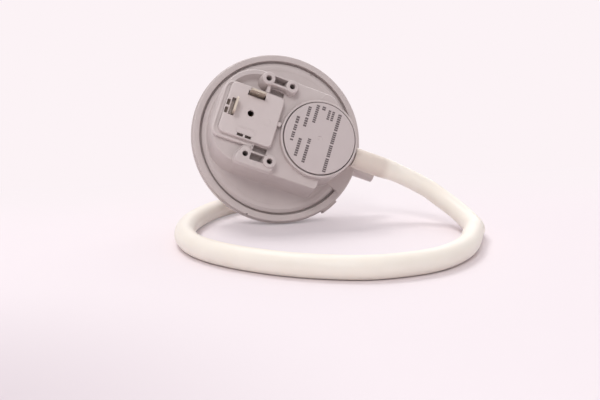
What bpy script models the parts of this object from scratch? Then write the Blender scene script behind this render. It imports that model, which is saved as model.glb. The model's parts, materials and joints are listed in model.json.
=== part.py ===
"""Differential pressure switch for a gas appliance, 75 mm across, standing on its rim.

The switch is modelled upright in its own axes: u along the two nozzles, v across them
and w out of the labelled face. One empty leans and rolls the whole switch back on its
rim. A silicone hose runs from the front nozzle in a loop on the surface it stands on.
"""
import math

import bmesh
import bpy
from mathutils import Matrix, Vector

MM = 0.001
GAP = 0.3 * MM

# Pose on the surface: the face leans back, and is rolled about its own axis
LEAN = math.radians(17.3)
ROLL = math.radians(-21.0)

# Rear shell: flange, bowl, screw ears and the clip lugs beside the nozzles
RIM_RADIUS = 37.5 * MM
REAR_FLANGE = 1.9 * MM
FLANGE_WIDTH = 1.9 * MM
BOWL_RADIUS = RIM_RADIUS - FLANGE_WIDTH
BOWL_STRAIGHT = 3.1 * MM
BACK_TAPER = 6.6 * MM
BACK_RADIUS = BOWL_RADIUS - BACK_TAPER
BACK_DEPTH = 12.0 * MM
SHELL_WALL = 1.8 * MM
SEAT_SHOULDER = 0.4 * MM
SEAT_WIDTH = 3.8 * MM
SEAT_OUTER = BOWL_RADIUS - SEAT_SHOULDER
SEAT_INNER = SEAT_OUTER - SEAT_WIDTH
SEAT_DEPTH = 3.0 * MM
EAR_ANGLES = (60.0, 180.0, 300.0)
EAR_SET_IN = 1.9 * MM
EAR_LENGTH = 9.7 * MM
EAR_RADIUS = BOWL_RADIUS - EAR_SET_IN
EAR_INNER = EAR_RADIUS - EAR_LENGTH
EAR_WIDTH = 10.5 * MM
EAR_HEIGHT = 2.0 * MM
EAR_HOLE_RADIUS = 1.6 * MM
EAR_HOLE_FROM_EDGE = 4.6 * MM
HUB_RADIUS = 12.0 * MM
CLIP_ANGLES = (-33.0, 33.0)
CLIP_HALF_ANGLE = 6.5
CLIP_REACH = 1.4 * MM
CLIP_LENGTH = 5.0 * MM

# Front shell: rim, groove and floor
RIM_STEP = 0.5 * MM
FRONT_RIM_RADIUS = RIM_RADIUS - RIM_STEP
RIM_CHAMFER = 0.6 * MM
FLOOR_TOP = 1.8 * MM
GROOVE_SET_IN = 1.0 * MM
GROOVE_WIDTH = 1.8 * MM
GROOVE_OUTER = SEAT_OUTER - GROOVE_SET_IN
GROOVE_INNER = GROOVE_OUTER - GROOVE_WIDTH
GROOVE_FLOOR = -0.2 * MM
GROOVE_SLOPE = 1.2 * MM
TONGUE_DEPTH = 1.2 * MM
GROOVE_END_ANGLE = 25.0
BRIDGE_RISE = 0.5 * MM
BRIDGE_SET_IN = 0.4 * MM

# Front shell: raised beam housing and its chamber
PLATEAU_TOP = 18.0 * MM
PLATEAU_HALF_WIDTH = 20.3 * MM
PLATEAU_LEFT = -29.6 * MM
PLATEAU_RIGHT = 19.3 * MM
PLATEAU_LEFT_CORNER = 15.0 * MM
PLATEAU_RIGHT_CORNER = 2.0 * MM
PLATEAU_DRAFT = 1.7 * MM
PLATEAU_EDGE = 0.6 * MM
PLATEAU_WALL = 2.6 * MM
CHAMBER_LEFT = PLATEAU_LEFT + PLATEAU_WALL
CHAMBER_RIGHT = 24.0 * MM
CHAMBER_HALF_WIDTH = 10.2 * MM
CHAMBER_CORNER = 4.0 * MM
CHAMBER_ROOF = 15.2 * MM
CORE_LEFT = -19.0 * MM
CORE_RIGHT = 13.0 * MM
CORE_INNER = 12.2 * MM
CORE_OUTER = 18.4 * MM
CORE_TOP = 9.0 * MM

# Front shell: round cup over the setpoint spring
CUP_U = 14.2 * MM
CUP_RADIUS = 16.5 * MM
CUP_DRAFT = 0.7 * MM
CUP_BASE_RADIUS = CUP_RADIUS + CUP_DRAFT
CUP_TOP = 20.6 * MM
CUP_WALL = 0.9 * MM
CUP_BORE = CUP_RADIUS - CUP_WALL
CUP_FLOOR = 16.8 * MM

# Front shell: paired screw bosses, their window and the latch pocket beside the cover
BOSS_US = (-13.5 * MM, -3.2 * MM)
BOSS_V = 16.6 * MM
BOSS_RADIUS = 2.6 * MM
BOSS_DRAFT = 0.6 * MM
BOSS_BASE_RADIUS = BOSS_RADIUS + BOSS_DRAFT
BOSS_FLARE = 0.9 * MM
BOSS_FOOT_RADIUS = BOSS_BASE_RADIUS + BOSS_FLARE
BOSS_FOOT_HEIGHT = 1.4 * MM
BOSS_TOP = 22.5 * MM
BOSS_HOLE_RADIUS = 1.15 * MM
BOSS_WEB_INNER = 14.4 * MM
BOSS_WEB_OUTER = 19.3 * MM
BOSS_WINDOW_INNER = 15.4 * MM
BOSS_WINDOW_OUTER = 18.4 * MM
POCKET_FLOOR = 12.0 * MM
LATCH_LEFT = -10.8 * MM
LATCH_RIGHT = -5.0 * MM
LATCH_INNER = 11.6 * MM
LATCH_OUTER = 13.9 * MM

# Nozzles, both on the centre line, one in each shell
NOZZLE_RADIUS = 2.7 * MM
NOZZLE_BORE = 1.4 * MM
NOZZLE_TIP_CHAMFER = 0.5 * MM
COLLAR_RADIUS = 4.1 * MM
FRONT_NOZZLE_W = 11.0 * MM
FRONT_COLLAR_REACH = 3.2 * MM
FRONT_NOZZLE_LENGTH = 12.8 * MM
FRONT_COLLAR_END = CUP_U + CUP_RADIUS + FRONT_COLLAR_REACH
FRONT_NOZZLE_TIP = FRONT_COLLAR_END + FRONT_NOZZLE_LENGTH
COLLAR_WEB = 4.4 * MM
REAR_NOZZLE_W = -8.3 * MM
REAR_COLLAR_REACH = 0.2 * MM
REAR_NOZZLE_LENGTH = 12.6 * MM
REAR_COLLAR_END = BOWL_RADIUS + REAR_COLLAR_REACH
REAR_NOZZLE_TIP = REAR_COLLAR_END + REAR_NOZZLE_LENGTH

# Diaphragm, its plate and its washer
MEMBRANE = 0.5 * MM
BEAD_THICKNESS = 1.2 * MM
ROLL_SET_IN = 5.4 * MM
ROLL_MID_RADIUS = SEAT_INNER - ROLL_SET_IN
ROLL_RADIUS = 2.2 * MM
PLATE_CLEARANCE = 1.3 * MM
PLATE_RADIUS = ROLL_MID_RADIUS - ROLL_RADIUS - PLATE_CLEARANCE
PLATE_THICKNESS = 0.8 * MM
PLATE_RIB_RADIUS = 9.0 * MM
PLATE_RIB_HEIGHT = 2.6 * MM
PLATE_RIB_WIDTH = 0.9 * MM
PLATE_RIBS = 6
STEM_RADIUS = 2.0 * MM
SPIGOT_RADIUS = 1.5 * MM
WASHER_RADIUS = 8.0 * MM
WASHER_THICKNESS = 0.8 * MM
SPIGOT_HEAD_RADIUS = 2.6 * MM
SPIGOT_HEAD = 0.8 * MM

# Rocking beam and its pivot
BEAM_LEFT = -18.6 * MM
BEAM_RIGHT = 18.6 * MM
BEAM_HALF_WIDTH = 3.2 * MM
BEAM_BOTTOM = 6.7 * MM
BEAM_SHEET = 1.0 * MM
BEAM_SIDE_HEIGHT = 1.4 * MM
BEAM_SIDE_LEFT = -13.4 * MM
BEAM_SIDE_RIGHT = 8.6 * MM
BEAM_EAR_HALF_LENGTH = 2.2 * MM
BEAM_EAR_ABOVE_PIN = 2.0 * MM
PIVOT_U = -8.0 * MM
PIVOT_W = 9.6 * MM
PIN_RADIUS = 0.8 * MM
LUG_THICKNESS = 2.0 * MM
LUG_HALF_LENGTH = 2.2 * MM
LUG_BELOW_PIN = 1.9 * MM
LUG_CLEARANCE = 0.6 * MM

# Setpoint spring, seat, screw, bush, gasket and lid
SPRING_WIRE = 0.6 * MM
SPRING_MEAN_RADIUS = 4.0 * MM
SPRING_TURNS = 3.5
SPRING_PAD_RADIUS = 2.8 * MM
SPRING_PAD_HEIGHT = 0.9 * MM
SEAT_HALF_WIDTH = 5.2 * MM
SEAT_PLATE_BOTTOM = 12.9 * MM
SEAT_PLATE_THICKNESS = 1.3 * MM
SEAT_CORNER = 1.2 * MM
RAIL_WIDTH = 1.8 * MM
RAIL_LENGTH = 10.4 * MM
RAIL_DROP = 4.0 * MM
SCREW_RADIUS = 1.5 * MM
SCREW_TIP = 11.2 * MM
SCREW_HEAD_RADIUS = 2.6 * MM
SCREW_HEAD = 1.3 * MM
SCREW_SLOT_WIDTH = 0.7 * MM
SCREW_SLOT_DEPTH = 0.7 * MM
BUSH_RADIUS = 3.0 * MM
BUSH_FLANGE_RADIUS = 4.0 * MM
BUSH_FLANGE = 0.6 * MM
GASKET_THICKNESS = 0.5 * MM
LID_RISE = 0.6 * MM
LID_THICKNESS = 1.4 * MM
LID_EDGE = 0.25 * MM
LID_SKIRT_WALL = 1.4 * MM
LID_DIMPLE_RADIUS = 0.9 * MM
LID_DIMPLE_DEPTH = 0.3 * MM

# Switch cover on the beam housing
COVER_SET_IN = 0.2 * MM
COVER_LEFT = PLATEAU_LEFT + COVER_SET_IN
COVER_RIGHT = -4.7 * MM
COVER_HALF_WIDTH = 11.2 * MM
COVER_TOP = 21.5 * MM
COVER_CORNER = 2.2 * MM
COVER_EDGE = 0.4 * MM
COVER_LEFT_SLOPE = 2.0 * MM
COVER_WALL = 1.0 * MM
COVER_ROOF = 1.3 * MM
COVER_HOLE_RADIUS = 1.3 * MM
TAB_SLOT_LENGTH = 7.4 * MM
TAB_SLOT_WIDTH = 2.3 * MM
LEFT_SLOT_U = CHAMBER_LEFT + 3.05 * MM
LEFT_SLOT_V = 0.3 * MM
TOP_SLOT_U = -16.0 * MM
TOP_SLOT_V = 8.05 * MM
SLIT_LENGTH = 2.6 * MM
SLIT_WIDTH = 1.3 * MM
SLIT_SPACING = 3.4 * MM
LEFT_SLITS = (-26.2 * MM, -0.2 * MM)
TOP_SLITS = (-16.1 * MM, 9.95 * MM)
BOTTOM_SLITS = (-16.1 * MM, -9.9 * MM)
NUB_WIDTH = 1.6 * MM

# Contact carrier in the well under the cover
WELL_RIGHT = -10.8 * MM
WELL_HALF_WIDTH = 10.2 * MM
CARRIER_BOTTOM = 10.6 * MM
CARRIER_FLOOR = 12.0 * MM
CARRIER_WALL = 1.1 * MM
CARRIER_LIP = 0.9 * MM
CARRIER_LIP_THICKNESS = 1.2 * MM

# Plunger, terminals, snap blade and contacts
PLUNGER_U = -16.2 * MM
PLUNGER_RADIUS = 1.1 * MM
PLUNGER_FOOT_RADIUS = 2.0 * MM
PLUNGER_FOOT = 1.2 * MM
TAB_WIDTH = 6.3 * MM
TAB_THICKNESS = 0.8 * MM
TAB_TIP = 26.5 * MM
TAB_TAPER = 0.6 * MM
TAB_HOLE_RADIUS = 0.8 * MM
TAB_HOLE_FROM_TIP = 2.6 * MM
COMMON_TAB_U = LEFT_SLOT_U + 0.65 * MM
COMMON_TAB_V = LEFT_SLOT_V + 0.1 * MM
COMMON_FOOT_END = COMMON_TAB_U + 3.7 * MM
COMMON_FOOT_HALF_WIDTH = 1.9 * MM
SWITCHED_TAB_U = TOP_SLOT_U - 0.05 * MM
SWITCHED_TAB_V = TOP_SLOT_V + 0.45 * MM
SWITCHED_FOOT_BOTTOM = 15.2 * MM
BLADE_HINGE_U = COMMON_TAB_U + 1.9 * MM
BLADE_TIP = -12.6 * MM
BLADE_HALF_WIDTH = 1.6 * MM
BLADE_THICKNESS = 0.3 * MM
CONTACT_U = -13.8 * MM
CONTACT_RADIUS = 1.0 * MM
CONTACT_HEAD = 0.3 * MM
RIVET_SHANK = 0.45 * MM

# Silicone hose over the front nozzle
HOSE_RADIUS = 4.0 * MM
HOSE_POINT_SPACING = 16.0 * MM
HOSE_SIDES_RESOLUTION = 3
HOSE_STRAIGHT = 6.0 * MM
HOSE_ROUTE = (
    (60.3, -22.0, 15.9),
    (65.3, -29.0, 11.6),
    (68.4, -37.5, 8.0),
    (69.2, -46.5, 5.3),
    (67.4, -55.5, 4.2),
    (63.0, -63.5, 4.0),
    (51.0, -82.4, 4.0),
    (38.7, -94.5, 4.0),
    (26.0, -101.0, 4.0),
    (8.7, -103.3, 4.0),
    (-6.6, -98.9, 4.0),
    (-21.0, -90.0, 4.0),
    (-34.2, -76.5, 4.0),
    (-42.0, -62.5, 4.0),
    (-45.0, -48.1, 4.0),
    (-44.3, -33.7, 4.0),
    (-40.8, -18.5, 4.0),
    (-34.0, -3.0, 4.0),
    (-25.0, 11.0, 4.0),
    (-14.0, 21.5, 4.0),
    (-1.0, 28.5, 4.0),
    (14.0, 32.0, 4.0),
)

# Round pieces
LARGE_STEPS = 60
MEDIUM_STEPS = 36
SMALL_STEPS = 20
TINY_STEPS = 14
CORNER_STEPS = 5


def material(name, colour, roughness, metallic=0.0):
    """A plain surface from a hex colour."""
    found = bpy.data.materials.get(name)
    if found:
        return found
    channels = [int(colour[i:i + 2], 16) / 255 for i in (1, 3, 5)]
    linear = [c / 12.92 if c <= 0.04045 else ((c + 0.055) / 1.055) ** 2.4 for c in channels]
    made = bpy.data.materials.new(name)
    made.use_nodes = True
    surface = made.node_tree.nodes["Principled BSDF"]
    surface.inputs["Base Color"].default_value = (*linear, 1.0)
    surface.inputs["Roughness"].default_value = roughness
    surface.inputs["Metallic"].default_value = metallic
    return made


def shell_grey():
    return material("grey moulding", "#A49C9B", 0.5)


def lid_grey():
    return material("lid moulding", "#A79E9E", 0.5)


def inner_plastic():
    return material("dark inner plastic", "#4A4846", 0.55)


def silicone():
    return material("cream silicone", "#E8E0CC", 0.4)


def membrane_silicone():
    return material("red brown silicone", "#8C4A3A", 0.5)


def brass():
    return material("brass", "#B08D4F", 0.3, 1.0)


def steel():
    return material("plated steel", "#A8A8A6", 0.3, 1.0)


def silver():
    return material("silver contact", "#D8D6D0", 0.25, 1.0)


def polar(radius, angle):
    return radius * math.cos(angle), radius * math.sin(angle)


def circle(radius, steps, middle=(0.0, 0.0)):
    """Outline points of a circle, counter-clockwise."""
    turn = 2 * math.pi / steps
    return [(middle[0] + polar(radius, turn * i)[0], middle[1] + polar(radius, turn * i)[1])
            for i in range(steps)]


def rounded_box(left, right, bottom, top, radii, steps=CORNER_STEPS):
    """Outline of a box with its own radius at each corner, counter-clockwise from lower left."""
    corners = (
        (left + radii[0], bottom + radii[0], 180.0),
        (right - radii[1], bottom + radii[1], 270.0),
        (right - radii[2], top - radii[2], 0.0),
        (left + radii[3], top - radii[3], 90.0),
    )
    points = []
    for (u, v, start), radius in zip(corners, radii):
        for i in range(steps + 1):
            du, dv = polar(radius, math.radians(start + 90.0 * i / steps))
            points.append((u + du, v + dv))
    return points


def sector(inner, outer, first, last, steps=10):
    """Outline of a piece of a ring between two angles in degrees."""
    turns = [math.radians(first + (last - first) * i / steps) for i in range(steps + 1)]
    outside = [polar(outer, t) for t in turns]
    inside = [polar(inner, t) for t in reversed(turns)]
    return outside + inside


def solid(name, bm):
    """A mesh object from a bmesh, with its faces turned outward."""
    bmesh.ops.recalc_face_normals(bm, faces=bm.faces)
    mesh = bpy.data.meshes.new(name)
    bm.to_mesh(mesh)
    bm.free()
    made = bpy.data.objects.new(name, mesh)
    bpy.context.scene.collection.objects.link(made)
    return made


def lofted(name, sections):
    """A solid through outlines of equal length, given as (outline, height) from below."""
    bm = bmesh.new()
    rings = [[bm.verts.new((u, v, w)) for u, v in outline] for outline, w in sections]
    bm.faces.new(rings[0])
    bm.faces.new(rings[-1])
    for low, high in zip(rings, rings[1:]):
        for i in range(len(low)):
            j = (i + 1) % len(low)
            bm.faces.new((low[i], low[j], high[j], high[i]))
    return solid(name, bm)


def prism(name, outline, bottom, top):
    return lofted(name, [(outline, bottom), (outline, top)])


def box(name, left, right, front, back, bottom, top):
    return prism(name, [(left, front), (right, front), (right, back), (left, back)], bottom, top)


def turned(name, profile, steps=LARGE_STEPS):
    """A profile of (radius, height) points spun round the w axis."""
    bm = bmesh.new()
    points = [bm.verts.new((radius, 0.0, w)) for radius, w in profile]
    pairs = zip(points, points[1:] + points[:1])
    edges = [bm.edges.new(pair) for pair in pairs if pair[0].co.x > 0 or pair[1].co.x > 0]
    bmesh.ops.spin(bm, geom=points + edges, cent=(0, 0, 0), axis=(0, 0, 1),
                   angle=2 * math.pi, steps=steps, use_duplicate=False)
    bmesh.ops.remove_doubles(bm, verts=bm.verts, dist=1e-6)
    bmesh.ops.dissolve_degenerate(bm, edges=bm.edges, dist=1e-7)
    return solid(name, bm)


def along_u(piece, w=0.0):
    """Stand a piece that was made along w on the u axis at a height."""
    piece.data.transform(Matrix.Translation((0, 0, w)) @ Matrix.Rotation(math.pi / 2, 4, "Y"))
    return piece


def along_v(piece, u, w):
    """Lay a piece that was made along w across the switch."""
    piece.data.transform(Matrix.Translation((u, 0, w)) @ Matrix.Rotation(math.pi / 2, 4, "X"))
    return piece


def combine(body, tool, operation):
    """Apply one Boolean to the body and drop the tool."""
    step = body.modifiers.new("step", "BOOLEAN")
    step.operation = operation
    step.solver = "EXACT"
    step.object = tool
    bpy.context.view_layer.update()
    graph = bpy.context.evaluated_depsgraph_get()
    mesh = bpy.data.meshes.new_from_object(body.evaluated_get(graph))
    body.modifiers.clear()
    body.data = mesh
    bpy.data.objects.remove(tool)
    return body


def join(body, *tools):
    for tool in tools:
        combine(body, tool, "UNION")
    return body


def cut(body, *tools):
    for tool in tools:
        combine(body, tool, "DIFFERENCE")
    return body


def finish(piece, name, look, switch, origin=(0.0, 0.0, 0.0)):
    """Name a piece, give it its origin and material, and hang it on the switch."""
    piece.name = name
    piece.data.name = name
    piece.data.transform(Matrix.Translation(-Vector(origin)))
    piece.location = origin
    piece.parent = switch
    piece.data.materials.clear()
    piece.data.materials.append(look)
    piece.data.shade_smooth()
    piece.data.set_sharp_from_angle(angle=math.radians(30))
    return piece


def nozzle(collar_start, collar_end, tip, w):
    """A collar with a stub pipe on it, along u."""
    profile = [
        (0.0, collar_start),
        (COLLAR_RADIUS, collar_start),
        (COLLAR_RADIUS, collar_end),
        (NOZZLE_RADIUS, collar_end),
        (NOZZLE_RADIUS, tip - NOZZLE_TIP_CHAMFER),
        (NOZZLE_RADIUS - NOZZLE_TIP_CHAMFER, tip),
        (0.0, tip),
    ]
    return along_u(turned("nozzle", profile, SMALL_STEPS), w)


def nozzle_bore(start, tip, w):
    return along_u(prism("bore", circle(NOZZLE_BORE, TINY_STEPS), start, tip + MM), w)


def screw_ear(angle):
    """A flat ear on the back with a hole for a mounting screw."""
    half = EAR_WIDTH / 2
    back = -BACK_DEPTH - EAR_HEIGHT
    bevel = EAR_HEIGHT
    outline = rounded_box(EAR_INNER, EAR_RADIUS, -half, half, (MM, bevel, bevel, MM))
    ear = prism("ear", outline, back, -BACK_DEPTH + MM)
    ear.data.transform(Matrix.Rotation(math.radians(angle), 4, "Z"))
    return ear


def ear_screw_hole(angle):
    middle = polar(EAR_RADIUS - EAR_HOLE_FROM_EDGE, math.radians(angle))
    back = -BACK_DEPTH - EAR_HEIGHT
    return prism("hole", circle(EAR_HOLE_RADIUS, TINY_STEPS, middle), back - MM, -BACK_DEPTH + 0.4 * MM)


def rear_housing(switch):
    """Bowl with the seat for the diaphragm bead, the low pressure nozzle and screw ears."""
    inner_foot = BACK_RADIUS - SHELL_WALL
    straight_end = -REAR_FLANGE - BOWL_STRAIGHT
    body = turned("rear", [
        (0.0, 0.0),
        (RIM_RADIUS, 0.0),
        (RIM_RADIUS, -REAR_FLANGE),
        (BOWL_RADIUS, -REAR_FLANGE),
        (BOWL_RADIUS, straight_end),
        (BACK_RADIUS + MM, -BACK_DEPTH + MM),
        (BACK_RADIUS, -BACK_DEPTH),
        (0.0, -BACK_DEPTH),
    ])
    back = -BACK_DEPTH - EAR_HEIGHT
    hub = lofted("hub", [(circle(HUB_RADIUS - 0.5 * MM, MEDIUM_STEPS), back),
                         (circle(HUB_RADIUS, MEDIUM_STEPS), -BACK_DEPTH + 0.5 * MM)])
    join(body, hub)
    for angle in EAR_ANGLES:
        join(body, screw_ear(angle))
        cut(body, ear_screw_hole(angle))
    for angle in CLIP_ANGLES:
        outline = sector(BOWL_RADIUS - MM, RIM_RADIUS + CLIP_REACH,
                         angle - CLIP_HALF_ANGLE, angle + CLIP_HALF_ANGLE)
        join(body, prism("clip", outline, -REAR_FLANGE / 2 - CLIP_LENGTH, -REAR_FLANGE / 2))
    join(body, nozzle(inner_foot, REAR_COLLAR_END, REAR_NOZZLE_TIP, REAR_NOZZLE_W))
    bowl = turned("bowl", [
        (0.0, MM),
        (0.0, -BACK_DEPTH + SHELL_WALL),
        (inner_foot, -BACK_DEPTH + SHELL_WALL),
        (SEAT_INNER, straight_end + 0.6 * MM),
        (SEAT_INNER, -SEAT_DEPTH),
        (SEAT_OUTER, -SEAT_DEPTH),
        (SEAT_OUTER, MM),
    ])
    cut(body, bowl, nozzle_bore(inner_foot - 3 * MM, REAR_NOZZLE_TIP, REAR_NOZZLE_W))
    return finish(body, "rear_housing", shell_grey(), switch)


def plateau_outline(inset):
    """Outline of the raised beam housing, drawn in by an inset."""
    left = PLATEAU_LEFT + inset
    right = PLATEAU_RIGHT - inset
    half = PLATEAU_HALF_WIDTH - inset
    long_corner = PLATEAU_LEFT_CORNER - inset
    short_corner = max(PLATEAU_RIGHT_CORNER - inset, 0.3 * MM)
    return rounded_box(left, right, -half, half,
                       (long_corner, short_corner, short_corner, long_corner), 8)


def front_disc():
    """Rim, groove and tongue of the front shell, spun in one piece."""
    return turned("front", [
        (0.0, FLOOR_TOP),
        (GROOVE_INNER - GROOVE_SLOPE, FLOOR_TOP),
        (GROOVE_INNER, FLOOR_TOP - 0.8 * GROOVE_SLOPE),
        (GROOVE_INNER, GROOVE_FLOOR),
        (GROOVE_OUTER, GROOVE_FLOOR),
        (GROOVE_OUTER, FLOOR_TOP),
        (FRONT_RIM_RADIUS - RIM_CHAMFER, FLOOR_TOP),
        (FRONT_RIM_RADIUS, FLOOR_TOP - RIM_CHAMFER),
        (FRONT_RIM_RADIUS, GAP),
        (SEAT_OUTER - GAP, GAP),
        (SEAT_OUTER - GAP, -TONGUE_DEPTH),
        (SEAT_INNER + GAP, -TONGUE_DEPTH),
        (SEAT_INNER + GAP, GAP),
        (0.0, GAP),
    ])


def raised_housing():
    """The beam housing with drafted walls, kept inside the groove."""
    body = lofted("plateau", [
        (plateau_outline(-PLATEAU_DRAFT), FLOOR_TOP - MM),
        (plateau_outline(0.0), PLATEAU_TOP - PLATEAU_EDGE),
        (plateau_outline(PLATEAU_EDGE), PLATEAU_TOP),
    ])
    limit = GROOVE_INNER - GROOVE_SLOPE - 0.2 * MM
    keep = prism("keep", circle(limit, LARGE_STEPS), -MM, PLATEAU_TOP + MM)
    return combine(body, keep, "INTERSECT")


def boss_group(side):
    """Two screw bosses joined by a web, with the window between them cut deep."""
    web = rounded_box(BOSS_US[0], BOSS_US[1], BOSS_WEB_INNER, BOSS_WEB_OUTER, (0.4 * MM,) * 4, 2)
    group = prism("web", web, PLATEAU_TOP - MM, BOSS_TOP - GAP)
    mirror_to(group, side)
    return group


def boss_foot(u, side):
    """Flared foot of a boss, where it meets the beam housing."""
    middle = (u, side * BOSS_V)
    return lofted("foot", [
        (circle(BOSS_BASE_RADIUS, SMALL_STEPS, middle), PLATEAU_TOP - MM),
        (circle(BOSS_FOOT_RADIUS, SMALL_STEPS, middle), PLATEAU_TOP - GAP),
        (circle(BOSS_BASE_RADIUS, SMALL_STEPS, middle), PLATEAU_TOP + BOSS_FOOT_HEIGHT),
    ])


def boss(u, side):
    middle = (u, side * BOSS_V)
    post = lofted("boss", [
        (circle(BOSS_BASE_RADIUS, SMALL_STEPS, middle), PLATEAU_TOP - MM),
        (circle(BOSS_RADIUS, SMALL_STEPS, middle), BOSS_TOP - 2 * MM),
        (circle(BOSS_RADIUS, SMALL_STEPS, middle), BOSS_TOP),
    ])
    stump = prism("stump", circle(BOSS_RADIUS, SMALL_STEPS, middle), POCKET_FLOOR - MM, PLATEAU_TOP)
    return join(post, stump)


def mirror_to(piece, side):
    """Reflect a piece across the centre line when side is -1."""
    if side < 0:
        piece.data.transform(Matrix.Scale(-1, 4, (0, 1, 0)))
        piece.data.flip_normals()
    return piece


def pin_reach():
    """Half the length of the pivot pin, out to the far sides of its lugs."""
    return BEAM_HALF_WIDTH + LUG_CLEARANCE + LUG_THICKNESS


def front_housing(switch):
    """Front shell with the beam housing, cup, bosses and the high pressure nozzle."""
    body = front_disc()
    cup = lofted("cup", [
        (circle(CUP_BASE_RADIUS, LARGE_STEPS, (CUP_U, 0)), FLOOR_TOP - 0.8 * MM),
        (circle(CUP_RADIUS, LARGE_STEPS, (CUP_U, 0)), CUP_TOP - 0.3 * MM),
        (circle(CUP_RADIUS - 0.3 * MM, LARGE_STEPS, (CUP_U, 0)), CUP_TOP),
    ])
    filling = sector(SEAT_INNER + 2 * GAP, SEAT_OUTER - 2 * GAP,
                     -GROOVE_END_ANGLE, GROOVE_END_ANGLE)
    bridge = sector(GROOVE_INNER - 3 * MM, FRONT_RIM_RADIUS - RIM_CHAMFER - BRIDGE_SET_IN,
                    -GROOVE_END_ANGLE, GROOVE_END_ANGLE)
    join(body, raised_housing(), cup,
         prism("filling", filling, GROOVE_FLOOR - 0.5 * MM, FLOOR_TOP - 0.2 * MM),
         prism("bridge", bridge, FLOOR_TOP - 0.6 * MM, FLOOR_TOP + BRIDGE_RISE),
         nozzle(CUP_U + CUP_RADIUS - 4 * MM, FRONT_COLLAR_END, FRONT_NOZZLE_TIP, FRONT_NOZZLE_W),
         box("collar web", CUP_U + CUP_RADIUS - 2 * MM, FRONT_COLLAR_END - MM,
             -COLLAR_WEB / 2, COLLAR_WEB / 2, FLOOR_TOP - 0.5 * MM, FRONT_NOZZLE_W))
    for side in (1, -1):
        join(body, boss_group(side), *[boss_foot(u, side) for u in BOSS_US])
        window = mirror_to(box("window", BOSS_US[0], BOSS_US[1], BOSS_WINDOW_INNER,
                               BOSS_WINDOW_OUTER, POCKET_FLOOR, BOSS_TOP + MM), side)
        latch = mirror_to(box("latch pocket", LATCH_LEFT, LATCH_RIGHT, LATCH_INNER,
                              LATCH_OUTER, POCKET_FLOOR, PLATEAU_TOP + MM), side)
        cut(body, window, latch)
        join(body, *[boss(u, side) for u in BOSS_US])
        cut(body, *[prism("screw hole", circle(BOSS_HOLE_RADIUS, TINY_STEPS, (u, side * BOSS_V)),
                          POCKET_FLOOR + MM, BOSS_TOP + MM) for u in BOSS_US])
        core = mirror_to(box("core", CORE_LEFT, CORE_RIGHT, CORE_INNER, CORE_OUTER,
                             -5 * MM, CORE_TOP), side)
        cut(body, core)
    chamber = rounded_box(CHAMBER_LEFT, CHAMBER_RIGHT, -CHAMBER_HALF_WIDTH, CHAMBER_HALF_WIDTH,
                          (CHAMBER_CORNER,) * 4)
    well = rounded_box(CHAMBER_LEFT, WELL_RIGHT, -WELL_HALF_WIDTH, WELL_HALF_WIDTH, (MM,) * 4, 3)
    cut(body,
        prism("chamber", chamber, -5 * MM, CHAMBER_ROOF),
        prism("cup bore", circle(CUP_BORE, LARGE_STEPS, (CUP_U, 0)), CUP_FLOOR, CUP_TOP + MM),
        prism("well", well, CARRIER_BOTTOM, PLATEAU_TOP + MM),
        nozzle_bore(CHAMBER_RIGHT - 4 * MM, FRONT_NOZZLE_TIP, FRONT_NOZZLE_W))
    lug_inner = BEAM_HALF_WIDTH + LUG_CLEARANCE
    for side in (1, -1):
        lug = mirror_to(box("pin lug", PIVOT_U - LUG_HALF_LENGTH, PIVOT_U + LUG_HALF_LENGTH,
                            lug_inner, lug_inner + LUG_THICKNESS,
                            PIVOT_W - LUG_BELOW_PIN, CHAMBER_ROOF + GAP), side)
        rail_inner = SEAT_HALF_WIDTH + GAP
        rail = mirror_to(box("rail", CUP_U - RAIL_LENGTH / 2, CUP_U + RAIL_LENGTH / 2,
                             rail_inner, rail_inner + RAIL_WIDTH,
                             CHAMBER_ROOF - RAIL_DROP, CHAMBER_ROOF + GAP), side)
        join(body, lug, rail)
    pin_hole = prism("pin hole", circle(PIN_RADIUS + GAP, TINY_STEPS), -pin_reach() - MM, pin_reach() + MM)
    bush_hole = prism("bush hole", circle(BUSH_RADIUS + GAP, SMALL_STEPS, (CUP_U, 0)),
                      CHAMBER_ROOF - MM, CUP_FLOOR + MM)
    cut(body, along_v(pin_hole, PIVOT_U, PIVOT_W), bush_hole)
    return finish(body, "front_housing", shell_grey(), switch)


def bead_top():
    return -TONGUE_DEPTH - GAP


def membrane_top():
    """Upper face of the flat part of the diaphragm."""
    return bead_top() - (BEAD_THICKNESS - MEMBRANE) / 2


def diaphragm(switch):
    """Moulded membrane: bead, rolled convolution and a flat middle with the spigot hole."""
    top = membrane_top()
    middle = top - MEMBRANE / 2
    bead_inner = SEAT_INNER + 2 * GAP
    bead_outer = SEAT_OUTER - 2 * GAP
    turn = [math.pi * i / 6 for i in range(7)]
    upper = [(ROLL_MID_RADIUS + (ROLL_RADIUS - MEMBRANE / 2) * math.cos(t),
              middle - (ROLL_RADIUS - MEMBRANE / 2) * math.sin(t)) for t in turn]
    lower = [(ROLL_MID_RADIUS + (ROLL_RADIUS + MEMBRANE / 2) * math.cos(t),
              middle - (ROLL_RADIUS + MEMBRANE / 2) * math.sin(t)) for t in turn]
    hole = SPIGOT_RADIUS + GAP
    upper[0] = (upper[0][0], top)
    upper[-1] = (upper[-1][0], top)
    lower[0] = (lower[0][0], top - MEMBRANE)
    lower[-1] = (lower[-1][0], top - MEMBRANE)
    profile = (
        [(bead_inner, top), (bead_inner, bead_top()), (bead_outer, bead_top()),
         (bead_outer, bead_top() - BEAD_THICKNESS), (bead_inner, bead_top() - BEAD_THICKNESS),
         (bead_inner, top - MEMBRANE)]
        + lower + [(hole, top - MEMBRANE), (hole, top)] + upper[::-1])
    body = turned("diaphragm", profile, MEDIUM_STEPS)
    return finish(body, "diaphragm", membrane_silicone(), switch)


def plate_bottom():
    return membrane_top() + GAP


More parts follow.
